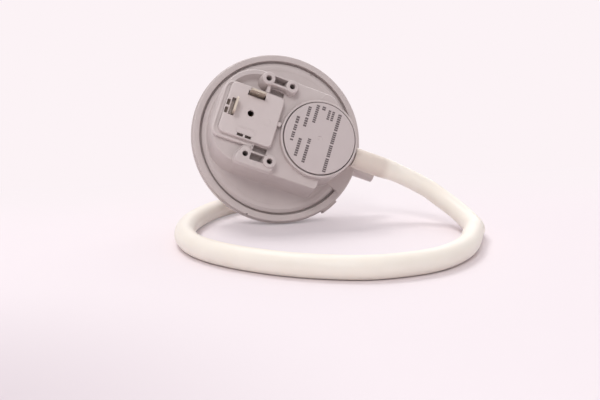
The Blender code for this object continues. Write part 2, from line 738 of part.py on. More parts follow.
def diaphragm_plate(switch):
    """Stiff plate on the membrane, with ribs, the stem to the beam and the riveted spigot."""
    bottom = plate_bottom()
    top = bottom + PLATE_THICKNESS
    stem_top = BEAM_BOTTOM - GAP
    spigot_end = membrane_top() - MEMBRANE - GAP - WASHER_THICKNESS - GAP
    body = turned("plate", [
        (0.0, spigot_end - SPIGOT_HEAD),
        (SPIGOT_HEAD_RADIUS, spigot_end - SPIGOT_HEAD),
        (SPIGOT_HEAD_RADIUS, spigot_end),
        (SPIGOT_RADIUS, spigot_end),
        (SPIGOT_RADIUS, bottom),
        (PLATE_RADIUS, bottom),
        (PLATE_RADIUS, top),
        (STEM_RADIUS, top),
        (STEM_RADIUS, stem_top - 0.5 * MM),
        (STEM_RADIUS - 0.5 * MM, stem_top),
        (0.0, stem_top),
    ], MEDIUM_STEPS)
    for i in range(PLATE_RIBS):
        bm = bmesh.new()
        half = PLATE_RIB_WIDTH / 2
        shape = ((0.5 * STEM_RADIUS, top - 0.5 * PLATE_THICKNESS),
                 (PLATE_RIB_RADIUS, top - 0.5 * PLATE_THICKNESS),
                 (PLATE_RIB_RADIUS, top + 0.3 * MM),
                 (0.5 * STEM_RADIUS, top + PLATE_RIB_HEIGHT))
        near = [bm.verts.new((r, -half, w)) for r, w in shape]
        far = [bm.verts.new((r, half, w)) for r, w in shape]
        bm.faces.new(near)
        bm.faces.new(far)
        for a in range(len(shape)):
            b = (a + 1) % len(shape)
            bm.faces.new((near[a], near[b], far[b], far[a]))
        rib = solid("rib", bm)
        rib.data.transform(Matrix.Rotation(2 * math.pi * i / PLATE_RIBS, 4, "Z"))
        join(body, rib)
    return finish(body, "diaphragm_plate", inner_plastic(), switch)


def clamp_washer(switch):
    """Washer that clamps the membrane against the plate."""
    top = membrane_top() - MEMBRANE - GAP
    hole = SPIGOT_RADIUS + GAP
    body = turned("washer", [
        (hole, top), (hole, top - WASHER_THICKNESS),
        (WASHER_RADIUS, top - WASHER_THICKNESS), (WASHER_RADIUS, top),
    ], MEDIUM_STEPS)
    return finish(body, "clamp_washer", steel(), switch)


def rocker_beam(switch):
    """Pressed channel on the pivot pin: diaphragm between plunger end and spring end."""
    top = BEAM_BOTTOM + BEAM_SHEET
    outline = rounded_box(BEAM_LEFT, BEAM_RIGHT, -BEAM_HALF_WIDTH, BEAM_HALF_WIDTH,
                          (BEAM_HALF_WIDTH * 0.6,) * 4)
    body = prism("beam", outline, BEAM_BOTTOM, top)
    pad = prism("spring pad", circle(SPRING_PAD_RADIUS, SMALL_STEPS, (CUP_U, 0)),
                top - 0.5 * BEAM_SHEET, top + SPRING_PAD_HEIGHT)
    join(body, pad)
    for side in (1, -1):
        wall = mirror_to(box("side", BEAM_SIDE_LEFT, BEAM_SIDE_RIGHT,
                             BEAM_HALF_WIDTH - BEAM_SHEET, BEAM_HALF_WIDTH,
                             top - 0.5 * BEAM_SHEET, top + BEAM_SIDE_HEIGHT), side)
        ear = mirror_to(box("ear", PIVOT_U - BEAM_EAR_HALF_LENGTH, PIVOT_U + BEAM_EAR_HALF_LENGTH,
                            BEAM_HALF_WIDTH - BEAM_SHEET, BEAM_HALF_WIDTH,
                            top - 0.5 * BEAM_SHEET, PIVOT_W + BEAM_EAR_ABOVE_PIN), side)
        join(body, join(wall, ear))
    pin_hole = prism("pin hole", circle(PIN_RADIUS + GAP, TINY_STEPS), -pin_reach() - MM, pin_reach() + MM)
    cut(body, along_v(pin_hole, PIVOT_U, PIVOT_W))
    return finish(body, "rocker_beam", steel(), switch, (PIVOT_U, 0, PIVOT_W))


def pivot_pin(switch):
    pin = along_v(prism("pin", circle(PIN_RADIUS, TINY_STEPS), -pin_reach(), pin_reach()),
                  PIVOT_U, PIVOT_W)
    return finish(pin, "pivot_pin", steel(), switch, (PIVOT_U, 0, PIVOT_W))


def setpoint_spring(switch):
    """Compression spring between the beam and the seat nut, drawn as its real coil."""
    low = BEAM_BOTTOM + BEAM_SHEET + GAP + SPRING_WIRE / 2
    high = SEAT_PLATE_BOTTOM - GAP - SPRING_WIRE / 2
    steps = round(SPRING_TURNS * TINY_STEPS)
    curve = bpy.data.curves.new("setpoint_spring", "CURVE")
    curve.dimensions = "3D"
    curve.bevel_depth = SPRING_WIRE / 2
    curve.bevel_resolution = 1
    curve.use_fill_caps = True
    line = curve.splines.new("POLY")
    line.points.add(steps)
    for i, point in enumerate(line.points):
        share = i / steps
        u, v = polar(SPRING_MEAN_RADIUS, 2 * math.pi * SPRING_TURNS * share)
        point.co = (u, v, low + (high - low) * share - SEAT_PLATE_BOTTOM, 1.0)
    spring = bpy.data.objects.new("setpoint_spring", curve)
    bpy.context.scene.collection.objects.link(spring)
    spring.location = (CUP_U, 0, SEAT_PLATE_BOTTOM)
    spring.parent = switch
    curve.materials.append(steel())
    return spring


def spring_seat(switch):
    """Square nut that rides on the screw between the rails and loads the spring."""
    outline = rounded_box(CUP_U - SEAT_HALF_WIDTH, CUP_U + SEAT_HALF_WIDTH,
                          -SEAT_HALF_WIDTH, SEAT_HALF_WIDTH, (SEAT_CORNER,) * 4, 3)
    body = prism("seat", outline, SEAT_PLATE_BOTTOM, SEAT_PLATE_BOTTOM + SEAT_PLATE_THICKNESS)
    cut(body, prism("thread", circle(SCREW_RADIUS + GAP, SMALL_STEPS, (CUP_U, 0)),
                    SEAT_PLATE_BOTTOM - MM, SEAT_PLATE_BOTTOM + SEAT_PLATE_THICKNESS + MM))
    return finish(body, "spring_seat", brass(), switch, (CUP_U, 0, SEAT_PLATE_BOTTOM))


def bush_top():
    return CUP_FLOOR + GAP + BUSH_FLANGE


def screw_bush(switch):
    """Flanged bush in the cup floor that carries the adjusting screw."""
    hole = SCREW_RADIUS + GAP
    body = turned("bush", [
        (hole, bush_top()), (hole, CHAMBER_ROOF),
        (BUSH_RADIUS, CHAMBER_ROOF), (BUSH_RADIUS, CUP_FLOOR + GAP),
        (BUSH_FLANGE_RADIUS, CUP_FLOOR + GAP), (BUSH_FLANGE_RADIUS, bush_top()),
    ], SMALL_STEPS)
    body.data.transform(Matrix.Translation((CUP_U, 0, 0)))
    return finish(body, "screw_bush", brass(), switch, (CUP_U, 0, CUP_FLOOR))


def adjusting_screw(switch):
    """Slotted setpoint screw under the lid."""
    head_bottom = bush_top() + GAP
    head_top = head_bottom + SCREW_HEAD
    body = turned("screw", [
        (0.0, SCREW_TIP), (SCREW_RADIUS - 0.4 * MM, SCREW_TIP),
        (SCREW_RADIUS, SCREW_TIP + 0.4 * MM), (SCREW_RADIUS, head_bottom),
        (SCREW_HEAD_RADIUS, head_bottom), (SCREW_HEAD_RADIUS, head_top - GAP),
        (SCREW_HEAD_RADIUS - GAP, head_top), (0.0, head_top),
    ], SMALL_STEPS)
    half = SCREW_SLOT_WIDTH / 2
    cut(body, box("slot", -2 * SCREW_HEAD_RADIUS, 2 * SCREW_HEAD_RADIUS, -half, half,
                  head_top - SCREW_SLOT_DEPTH, head_top + MM))
    body.data.transform(Matrix.Translation((CUP_U, 0, 0)))
    return finish(body, "adjusting_screw", brass(), switch, (CUP_U, 0, head_top))


def gasket_top():
    return CUP_FLOOR + GAP + GASKET_THICKNESS


def lid_gasket(switch):
    outer = CUP_BORE - 2 * GAP
    inner = CUP_BORE - GAP - LID_SKIRT_WALL
    body = turned("gasket", [
        (inner, gasket_top()), (inner, CUP_FLOOR + GAP),
        (outer, CUP_FLOOR + GAP), (outer, gasket_top()),
    ], MEDIUM_STEPS)
    body.data.transform(Matrix.Translation((CUP_U, 0, 0)))
    return finish(body, "lid_gasket", membrane_silicone(), switch, (CUP_U, 0, CUP_FLOOR))


def setpoint_lid(switch):
    """Round lid that carries the print and closes the cup over the screw."""
    top = CUP_TOP + LID_RISE
    outer = CUP_BORE - GAP
    skirt = outer - LID_SKIRT_WALL
    body = turned("lid", [
        (0.0, top - LID_DIMPLE_DEPTH), (LID_DIMPLE_RADIUS, top - LID_DIMPLE_DEPTH),
        (LID_DIMPLE_RADIUS + 0.2 * MM, top), (outer - LID_EDGE, top), (outer, top - LID_EDGE),
        (outer, gasket_top() + GAP), (skirt, gasket_top() + GAP),
        (skirt, top - LID_THICKNESS), (0.0, top - LID_THICKNESS),
    ])
    body.data.transform(Matrix.Translation((CUP_U, 0, 0)))
    return finish(body, "setpoint_lid", lid_grey(), switch, (CUP_U, 0, top))


def cover_outline(inset, left_inset):
    corner = COVER_CORNER - 0.5 * inset
    return rounded_box(COVER_LEFT + left_inset, COVER_RIGHT - inset,
                       -COVER_HALF_WIDTH + inset, COVER_HALF_WIDTH - inset, (corner,) * 4)


def slot_box(name, u, v, along, length, width, bottom, top):
    """An upright slot whose length runs along u or v."""
    half_u, half_v = (length / 2, width / 2) if along == "u" else (width / 2, length / 2)
    return box(name, u - half_u, u + half_u, v - half_v, v + half_v, bottom, top)


def slit_pair(u, v, along, bottom, top):
    """Two short slits side by side, spaced along u or v."""
    step = SLIT_SPACING / 2
    places = [(u - step, v), (u + step, v)] if along == "u" else [(u, v - step), (u, v + step)]
    return [slot_box("slit", a, b, along, SLIT_LENGTH, SLIT_WIDTH, bottom, top) for a, b in places]


def switch_cover(switch):
    """Cap over the contacts, with a slot for each tab and slits beside each tab place."""
    bottom = PLATEAU_TOP + GAP
    body = lofted("cover", [
        (cover_outline(0.0, 0.0), bottom),
        (cover_outline(0.0, 0.0), bottom + 0.6 * MM),
        (cover_outline(0.0, COVER_LEFT_SLOPE * 0.8), COVER_TOP - COVER_EDGE),
        (cover_outline(COVER_EDGE, COVER_LEFT_SLOPE + COVER_EDGE), COVER_TOP),
    ])
    roof = COVER_TOP - COVER_ROOF
    inside = rounded_box(COVER_LEFT + COVER_WALL, COVER_RIGHT - COVER_WALL,
                         -COVER_HALF_WIDTH + COVER_WALL, COVER_HALF_WIDTH - COVER_WALL,
                         (MM,) * 4, 3)
    space = lofted("inside", [(inside, bottom - MM), (inside, roof - MM), (inside, roof)])
    nub = box("nub", COVER_RIGHT - MM, CUP_U - CUP_RADIUS - 2 * GAP, -NUB_WIDTH / 2, NUB_WIDTH / 2,
              bottom, COVER_TOP - MM)
    join(body, nub)
    low, high = roof - 0.2 * MM, COVER_TOP + MM
    openings = [
        slot_box("tab slot", LEFT_SLOT_U, LEFT_SLOT_V, "v", TAB_SLOT_LENGTH, TAB_SLOT_WIDTH,
                 low, high),
        slot_box("tab slot", TOP_SLOT_U, TOP_SLOT_V, "u", TAB_SLOT_LENGTH, TAB_SLOT_WIDTH,
                 low, high),
        prism("middle hole", circle(COVER_HOLE_RADIUS, SMALL_STEPS, (PLUNGER_U, 0)), low, high),
    ]
    openings += slit_pair(*LEFT_SLITS, "v", low, high)
    openings += slit_pair(*TOP_SLITS, "u", low, high)
    openings += slit_pair(*BOTTOM_SLITS, "u", low, high)
    cut(body, space, *openings)
    return finish(body, "switch_cover", shell_grey(), switch)


def contact_carrier(switch):
    """Tray in the well of the beam housing that holds the terminals and the blade."""
    left, right = CHAMBER_LEFT + GAP, WELL_RIGHT - GAP
    half = WELL_HALF_WIDTH - GAP
    lip_bottom = PLATEAU_TOP + GAP
    body = prism("tray", rounded_box(left, right, -half, half, (0.8 * MM,) * 4, 2),
                 CARRIER_BOTTOM, lip_bottom + CARRIER_LIP_THICKNESS)
    lip = box("lip", left - CARRIER_LIP, right + CARRIER_LIP, -half + 1.5 * MM, half - 1.5 * MM,
              lip_bottom, lip_bottom + CARRIER_LIP_THICKNESS - 0.2 * MM)
    join(body, lip)
    cut(body,
        box("hollow", left + CARRIER_WALL, right - CARRIER_WALL, -half + CARRIER_WALL,
            half - 0.6 * CARRIER_WALL, CARRIER_FLOOR, PLATEAU_TOP + 5 * MM),
        prism("plunger hole", circle(PLUNGER_RADIUS + GAP, TINY_STEPS, (PLUNGER_U, 0)),
              CARRIER_BOTTOM - MM, CARRIER_FLOOR + MM))
    return finish(body, "contact_carrier", inner_plastic(), switch)


def tab(along, u, v, foot_bottom):
    """A 6.3 mm blade with chamfered tip and its detent hole, standing along w."""
    half = TAB_WIDTH / 2
    taper = TAB_TAPER
    outline = [(-half, foot_bottom), (half, foot_bottom), (half, TAB_TIP - taper),
               (half - taper, TAB_TIP), (-half + taper, TAB_TIP), (-half, TAB_TIP - taper)]
    blade = prism("tab", outline, -TAB_THICKNESS / 2, TAB_THICKNESS / 2)
    cut(blade, prism("detent", circle(TAB_HOLE_RADIUS, TINY_STEPS, (0, TAB_TIP - TAB_HOLE_FROM_TIP)),
                     -MM, MM))
    upright = Matrix.Rotation(math.pi / 2, 4, "X")
    if along == "v":
        upright = Matrix.Rotation(math.pi / 2, 4, "Z") @ upright
    blade.data.transform(Matrix.Translation((u, v, 0)) @ upright)
    return blade


def blade_bottom():
    """Underside of the snap blade, one thickness of clearance over the common foot."""
    return CARRIER_FLOOR + GAP + TAB_THICKNESS + GAP


def terminal_common(switch):
    """Tab of the common terminal with the foot that holds the snap blade."""
    foot_bottom = CARRIER_FLOOR + GAP
    body = tab("v", COMMON_TAB_U, COMMON_TAB_V, foot_bottom)
    foot = box("foot", COMMON_TAB_U, COMMON_FOOT_END, -COMMON_FOOT_HALF_WIDTH,
               COMMON_FOOT_HALF_WIDTH, foot_bottom, foot_bottom + TAB_THICKNESS)
    join(body, foot)
    return finish(body, "terminal_common", brass(), switch)


def terminal_switched(switch):
    """Tab of the switched terminal with the arm over the blade that carries its contact."""
    body = tab("u", SWITCHED_TAB_U, SWITCHED_TAB_V, SWITCHED_FOOT_BOTTOM)
    arm = box("arm", CONTACT_U - 1.2 * MM, CONTACT_U + 1.2 * MM, -1.4 * MM, SWITCHED_TAB_V,
              SWITCHED_FOOT_BOTTOM, SWITCHED_FOOT_BOTTOM + TAB_THICKNESS)
    join(body, arm)
    cut(body, prism("rivet hole", circle(RIVET_SHANK + GAP, TINY_STEPS, (CONTACT_U, 0)),
                    SWITCHED_FOOT_BOTTOM - MM, SWITCHED_FOOT_BOTTOM + 2 * MM))
    return finish(body, "terminal_switched", brass(), switch)


def rivet(name, head_low, sheet_bottom, sheet_top, look, switch, origin):
    """Contact rivet through a sheet: contact head on one side, upset head on the other."""
    small = RIVET_SHANK + 2 * GAP
    under = sheet_bottom - GAP
    over = sheet_top + GAP
    lower, upper = (CONTACT_RADIUS, small) if head_low else (small, CONTACT_RADIUS)
    profile = [
        (0.0, under - CONTACT_HEAD), (lower, under - CONTACT_HEAD), (lower, under),
        (RIVET_SHANK, under), (RIVET_SHANK, over), (upper, over), (upper, over + CONTACT_HEAD),
        (0.0, over + CONTACT_HEAD),
    ]
    body = turned(name, profile, TINY_STEPS)
    body.data.transform(Matrix.Translation((CONTACT_U, 0, 0)))
    return finish(body, name, look, switch, origin)


def snap_blade(switch):
    """Leaf that the plunger lifts, hinged over the common foot."""
    bottom = blade_bottom()
    body = prism("blade", rounded_box(COMMON_TAB_U + TAB_THICKNESS, BLADE_TIP, -BLADE_HALF_WIDTH,
                                      BLADE_HALF_WIDTH, (0.5 * MM,) * 4, 2),
                 bottom, bottom + BLADE_THICKNESS)
    cut(body, prism("rivet hole", circle(RIVET_SHANK + GAP, TINY_STEPS, (CONTACT_U, 0)),
                    bottom - MM, bottom + MM))
    return finish(body, "snap_blade", brass(), switch, (BLADE_HINGE_U, 0, bottom))


def plunger(switch):
    """Pin that carries the beam's movement to the blade."""
    bottom = BEAM_BOTTOM + BEAM_SHEET + GAP
    body = turned("plunger", [
        (0.0, bottom), (PLUNGER_FOOT_RADIUS, bottom), (PLUNGER_FOOT_RADIUS, bottom + PLUNGER_FOOT),
        (PLUNGER_RADIUS, bottom + PLUNGER_FOOT), (PLUNGER_RADIUS, blade_bottom() - GAP),
        (0.0, blade_bottom() - GAP),
    ], TINY_STEPS)
    body.data.transform(Matrix.Translation((PLUNGER_U, 0, 0)))
    return finish(body, "plunger", inner_plastic(), switch, (PLUNGER_U, 0, bottom))


def hose_sleeve(switch):
    """End of the hose that is pushed over the front nozzle."""
    inner = NOZZLE_RADIUS + GAP
    body = along_u(turned("sleeve", [
        (inner, FRONT_COLLAR_END + GAP), (HOSE_RADIUS, FRONT_COLLAR_END + GAP),
        (HOSE_RADIUS, FRONT_NOZZLE_TIP), (inner, FRONT_NOZZLE_TIP),
    ], SMALL_STEPS), FRONT_NOZZLE_W)
    return finish(body, "hose_sleeve", silicone(), switch, (FRONT_NOZZLE_TIP, 0, FRONT_NOZZLE_W))


def smooth_path(anchors, spacing):
    """Points at even spacing on a smooth curve through the anchors."""
    fine = []
    padded = [2 * anchors[0] - anchors[1]] + anchors + [2 * anchors[-1] - anchors[-2]]
    for before, start, end, after in zip(padded, padded[1:], padded[2:], padded[3:]):
        for i in range(24):
            t = i / 24
            fine.append(0.5 * (2 * start + (end - before) * t
                               + (2 * before - 5 * start + 4 * end - after) * t * t
                               + (3 * start - before - 3 * end + after) * t ** 3))
    fine.append(anchors[-1])
    lengths = [0.0]
    for a, b in zip(fine, fine[1:]):
        lengths.append(lengths[-1] + (b - a).length)
    count = round(lengths[-1] / spacing)
    points = []
    place = 0
    for i in range(count + 1):
        wanted = lengths[-1] * i / count
        while place < len(fine) - 2 and lengths[place + 1] < wanted:
            place += 1
        share = (wanted - lengths[place]) / (lengths[place + 1] - lengths[place])
        points.append(fine[place].lerp(fine[place + 1], share))
    return points


def supply_hose(switch):
    """Free hose from the nozzle's tip, round in a loop and behind the switch."""
    axis = switch.matrix_world.to_3x3() @ Vector((1, 0, 0))
    start = switch.matrix_world @ Vector((FRONT_NOZZLE_TIP + GAP, 0, FRONT_NOZZLE_W))
    under = Vector((switch.location.x, switch.location.y, 0))
    route = [under + Vector(point) * MM for point in HOSE_ROUTE]
    bent = smooth_path([start + axis * HOSE_STRAIGHT] + route, HOSE_POINT_SPACING)
    points = [start] + bent
    curve = bpy.data.curves.new("supply_hose", "CURVE")
    curve.dimensions = "3D"
    curve.bevel_depth = HOSE_RADIUS
    curve.bevel_resolution = HOSE_SIDES_RESOLUTION
    curve.use_fill_caps = True
    line = curve.splines.new("POLY")
    line.points.add(len(points) - 1)
    for target, point in zip(line.points, points):
        target.co = (*point, 1.0)
    hose = bpy.data.objects.new("supply_hose", curve)
    bpy.context.scene.collection.objects.link(hose)
    curve.materials.append(silicone())
    return hose


def lean_on_rim():
    """The empty that every piece of the switch hangs on, turned to its pose."""
    switch = bpy.data.objects.new("switch", None)
    bpy.context.scene.collection.objects.link(switch)
    tip_back = Matrix.Rotation(math.pi / 2 - LEAN, 4, "X")
    switch.matrix_world = tip_back @ Matrix.Rotation(ROLL, 4, "Z")
    return switch


def stand_on_origin(switch, pieces):
    """Move the switch so that its box stands centred on the origin."""
    bpy.context.view_layer.update()
    corners = [piece.matrix_world @ vertex.co for piece in pieces for vertex in piece.data.vertices]
    lows = [min(corner[axis] for corner in corners) for axis in range(3)]
    highs = [max(corner[axis] for corner in corners) for axis in range(3)]
    switch.location.x -= (lows[0] + highs[0]) / 2
    switch.location.y -= (lows[1] + highs[1]) / 2
    switch.location.z -= lows[2]
    bpy.context.view_layer.update()


def build():
    for old in list(bpy.data.objects):
        bpy.data.objects.remove(old)
    switch = lean_on_rim()
    shells = [rear_housing(switch), front_housing(switch)]
    diaphragm(switch)
    diaphragm_plate(switch)
    clamp_washer(switch)
    rocker_beam(switch)
    pivot_pin(switch)
    setpoint_spring(switch)
    spring_seat(switch)
    screw_bush(switch)
    adjusting_screw(switch)
    lid_gasket(switch)
    shells.append(setpoint_lid(switch))
    shells.append(switch_cover(switch))
    contact_carrier(switch)
    shells.append(terminal_common(switch))
    shells.append(terminal_switched(switch))
    blade_origin = (BLADE_HINGE_U, 0, blade_bottom())
    snap_blade(switch)
    rivet("moving_contact", False, blade_bottom(), blade_bottom() + BLADE_THICKNESS,
          silver(), switch, blade_origin)
    rivet("fixed_contact", True, SWITCHED_FOOT_BOTTOM, SWITCHED_FOOT_BOTTOM + TAB_THICKNESS,
          silver(), switch, (CONTACT_U, 0, SWITCHED_FOOT_BOTTOM))
    plunger(switch)
    hose_sleeve(switch)
    stand_on_origin(switch, shells)
    supply_hose(switch)


build()
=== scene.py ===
"""Looks of a differential pressure switch that stands on its rim with its silicone hose.

The switch is drawn in its own axes: u along the two nozzles, v across them and w out of
the printed face, all in millimetres. Each finished mesh is then turned to the lean and
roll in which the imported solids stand.
"""
import json
import math

import bmesh
import bpy
from mathutils import Matrix, Vector


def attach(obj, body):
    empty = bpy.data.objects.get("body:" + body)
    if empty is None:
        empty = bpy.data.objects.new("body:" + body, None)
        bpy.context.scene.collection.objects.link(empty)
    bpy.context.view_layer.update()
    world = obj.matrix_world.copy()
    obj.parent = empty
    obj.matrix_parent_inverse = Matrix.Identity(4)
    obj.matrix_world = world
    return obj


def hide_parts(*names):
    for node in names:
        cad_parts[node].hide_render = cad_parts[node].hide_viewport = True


MM = 0.001

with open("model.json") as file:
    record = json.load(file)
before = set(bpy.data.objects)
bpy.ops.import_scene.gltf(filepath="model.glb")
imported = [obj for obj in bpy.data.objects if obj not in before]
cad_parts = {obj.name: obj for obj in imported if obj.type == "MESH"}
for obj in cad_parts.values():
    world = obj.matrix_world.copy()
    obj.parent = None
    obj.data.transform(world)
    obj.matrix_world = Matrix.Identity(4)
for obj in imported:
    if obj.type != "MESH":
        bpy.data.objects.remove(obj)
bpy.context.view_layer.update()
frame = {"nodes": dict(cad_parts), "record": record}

# Pose of the switch, as its solids stand
LEAN = math.radians(17.3)
ROLL = math.radians(-21.0)
LID_FACE = 21.2
LID_FACE_POINT = Vector((22.2, 0.0, LID_FACE)) * MM

# Middles of the cup and the bosses, and the heights of bosses and cover
CUP_U = 14.2
BOSS_US = (-13.5, -3.2)
BOSS_V = 16.6
BOSS_TOP = 22.5
COVER_FOOT = 18.05
COVER_FACE = 21.5

# Rim: half the sector without a groove, in degrees, and where three small nicks start (u, v, w)
NOZZLE_SECTOR = 25
NICKS = ((-3.11, -36.75, 0.5), (3.9, -33.4, -0.2), (5.95, 32.2, 0.5))

# Screw ears on the back, in degrees round the switch, and how far out their holes lie
EAR_ANGLES = (60.0, 180.0, 300.0)
EAR_HOLE_RADIUS = 29.1

# Nozzles: where collar and pipe end along u, and the height of their axes
COLLAR_RADIUS = 4.1
PIPE_RADIUS = 2.7
BORE_RADIUS = 1.4
FRONT_NOZZLE_W = 11.0
FRONT_COLLAR_END = 32.0
FRONT_NOZZLE_TIP = 46.7
REAR_NOZZLE_W = -8.3
REAR_COLLAR_END = 35.8
REAR_NOZZLE_TIP = 48.4

# Hose, which is stretched where it is pushed over the front nozzle
HOSE_RADIUS = 4.0
HOSE_BORE_RADIUS = 2.5
HOSE_STRETCH = 0.45
HOSE_STRETCH_END = 7.0
HOSE_GAP = 0.3
HOSE_STRAIGHT = 6.0
HOSE_SIDES = 40
HOSE_SPACING = 2.0

# Middle line of the free hose over the floor, from the point under the switch's origin
HOSE_ROUTE = (
    (60.3, -22.0, 15.9),
    (65.3, -29.0, 11.6),
    (68.4, -37.5, 8.0),
    (69.2, -46.5, 5.3),
    (67.4, -55.5, 4.2),
    (63.0, -63.5, 4.0),
    (51.0, -82.4, 4.0),
    (38.7, -94.5, 4.0),
    (26.0, -101.0, 4.0),
    (8.7, -103.3, 4.0),
    (-6.6, -98.9, 4.0),
    (-21.0, -90.0, 4.0),
    (-34.2, -76.5, 4.0),
    (-42.0, -62.5, 4.0),
    (-45.0, -48.1, 4.0),
    (-44.3, -33.7, 4.0),
    (-40.8, -18.5, 4.0),
    (-34.0, -3.0, 4.0),
    (-25.0, 11.0, 4.0),
    (-14.0, 21.5, 4.0),
    (-1.0, 28.5, 4.0),
    (14.0, 32.0, 4.0),
)

# Lines of the print on the lid: u, the v where it starts, the words' lengths and the letters' height
PRINT_LINES = (
    (2.95, -4.9, (0.9, 2.7, 2.7, 3.3), 1.35),
    (6.5, 2.5, (4.2, 4.5), 1.35),
    (9.7, 5.4, (8.1,), 1.35),
    (12.3, 11.9, (1.8,), 1.5),
    (15.0, 8.6, (4.4,), 1.1),
    (16.7, 8.6, (4.4,), 1.1),
    (19.65, -13.2, (6.2, 5.4, 5.4, 7.6), 1.5),
    (6.35, -10.6, (8.0,), 1.35),
    (10.15, -12.2, (7.9, 2.4), 1.35),
)
LETTER_PITCH = 0.95
LETTER_GAP = 0.22
WORD_GAP = 0.45

# Mesh work: seams that are welded, in millimetres, and the angles up to which faces shade smooth
TURNED_SEAM = 0.001
CUT_SEAM = 0.002
SMOOTH_ANGLE = math.radians(32)
HOSE_SMOOTH_ANGLE = math.radians(40)

# The photograph's view, from the point under the switch's origin
CAMERA_PLACE = (-72.51, -326.92, 66.3)
CAMERA_HEADING = (0.2453, 0.9694)
CAMERA_DIP = math.radians(9.74)
CAMERA_LENS = 45.96

# Studio, in metres and watts: place, target, size, power and colour of each soft box
LAMPS = {
    "top": ((-0.35, 0.6, 1.6), (0.0, 0.0, 0.02), 0.6, 11.0, "#FFFCFA"),
    "front": ((-0.6, -1.4, 1.3), (0.0, 0.0, 0.03), 0.6, 11.5, "#FFFFFF"),
    "back": ((0.5, 1.1, 0.9), (0.0, 0.0, 0.02), 1.2, 6.5, "#FFFFFF"),
}
STUDIO_SIZE = 12.0
ROOM_LEVEL = 0.58
BRIGHT_PAPER = "#FCF3F6"


def switch_matrix():
    """Turns the switch's own axes into the row frame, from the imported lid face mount."""
    turn = Matrix.Rotation(math.pi / 2 - LEAN, 4, "X") @ Matrix.Rotation(ROLL, 4, "Z")
    mounts = {mount["name"]: mount for mount in frame["record"]["mounts"]}
    centre = Vector(mounts["lid_face"]["pos_m"]) - turn @ LID_FACE_POINT
    return Matrix.Translation(centre) @ turn


SWITCH = switch_matrix()
CENTRE = SWITCH.translation


def in_row(u, v, w):
    """A point of the switch, in millimetres, in the row frame."""
    return SWITCH @ (Vector((u, v, w)) * MM)


def linear(colour):
    """A hex colour as the linear values that a shader takes."""
    channels = [int(colour[i:i + 2], 16) / 255 for i in (1, 3, 5)]
    return [c / 12.92 if c <= 0.04045 else ((c + 0.055) / 1.055) ** 2.4 for c in channels] + [1.0]


def add_node(material, kind, settings=None, links=None):
    """Adds one node; settings fill sockets or properties, links feed sockets."""
    tree = material.node_tree
    made = tree.nodes.new(kind)
    for key, value in (settings or {}).items():
        if isinstance(key, str) and hasattr(made, key):
            setattr(made, key, value)
        else:
            made.inputs[key].default_value = value
    for key, source in (links or {}).items():
        tree.links.new(source, made.inputs[key])
    return made


def new_material(name):
    """An empty node material and its output."""
    material = bpy.data.materials.new(name)
    material.use_nodes = True
    material.node_tree.nodes.clear()
    return material, add_node(material, "ShaderNodeOutputMaterial")


def own_place(material):
    """The place of each point on its piece, in metres."""
    return add_node(material, "ShaderNodeTexCoord").outputs["Object"]


def finish_material(material, output, surface):
    material.node_tree.links.new(surface, output.inputs["Surface"])
    return material


def noise(material, place, size, detail):
    """Noise whose patches are about this many millimetres long."""
    return add_node(material, "ShaderNodeTexNoise", {"Scale": 1 / (size * MM), "Detail": detail},
                    {"Vector": place}).outputs["Fac"]


def blend(material, share, colour, shade):
    """A colour that runs into its shade as the share rises."""
    return add_node(material, "ShaderNodeMix", {"data_type": "RGBA", 6: linear(colour), 7: linear(shade)},
                    {0: share}).outputs[2]


def ramp(material, value, start, end, low=0.0, high=1.0, kind="LINEAR"):
    """A value that goes from low to high while its source goes from start to end."""
    return add_node(material, "ShaderNodeMapRange",
                    {"interpolation_type": kind, "From Min": start, "From Max": end,
                     "To Min": low, "To Max": high}, {"Value": value}).outputs["Result"]


def math_node(material, operation, first, second):
    return add_node(material, "ShaderNodeMath", {"operation": operation},
                    {0: first, 1: second}).outputs[0]


def distance(material, place, point):
    return add_node(material, "ShaderNodeVectorMath", {"operation": "DISTANCE", 1: tuple(point)},
                    {0: place}).outputs["Value"]


def bump(material, height, strength, depth):
    """Fine relief, its depth in millimetres."""
    return add_node(material, "ShaderNodeBump", {"Strength": strength, "Distance": depth * MM},
                    {"Height": height}).outputs["Normal"]


def directly_seen(material):
    """1 for what the camera, reflections and clear materials see, 0 for light on its way."""
    path = add_node(material, "ShaderNodeLightPath")
    either = math_node(material, "MAXIMUM", path.outputs["Is Camera Ray"], path.outputs["Is Glossy Ray"])
    return math_node(material, "MAXIMUM", either, path.outputs["Is Transmission Ray"])


def moulded_plastic(name, colour, shade, roughness):
    """Filled polyester from a spark-eroded mould: satin, with a faint mottle and fine grain.

    The mottle is the flow of the filler, some 6 mm long. The grain of the mould is about
    0.05 mm and is drawn coarser so that it shows.
    """
    material, output = new_material(name)
    place = own_place(material)
    flow = noise(material, place, 6.0, 3.0)
    tone = blend(material, flow, colour, shade)
    rough = ramp(material, flow, 0.0, 1.0, roughness - 0.05, roughness + 0.07)
    relief = bump(material, noise(material, place, 0.18, 2.0), 0.35, 0.02)
    surface = add_node(material, "ShaderNodeBsdfPrincipled", {"IOR": 1.5},
                       {"Base Color": tone, "Roughness": rough, "Normal": relief})
    return finish_material(material, output, surface.outputs["BSDF"])


def painted_pipe_shade(material, place, middle, along, half):
    """Painted shade of the pipe seen through the hose wall: 1 where the hose covers the nozzle, fading
    past its tip.
    """
    run = add_node(material, "ShaderNodeVectorMath", {"operation": "DOT_PRODUCT", 1: tuple(along)},
                   {0: place})
    end = middle.dot(along) + half
    before = ramp(material, run.outputs["Value"], end - 1.8 * MM, end + 2.6 * MM, 1.0, 0.0, "SMOOTHSTEP")
    near = ramp(material, distance(material, place, middle), 11 * MM, 13 * MM, 1.0, 0.0)
    return math_node(material, "MULTIPLY", before, near)


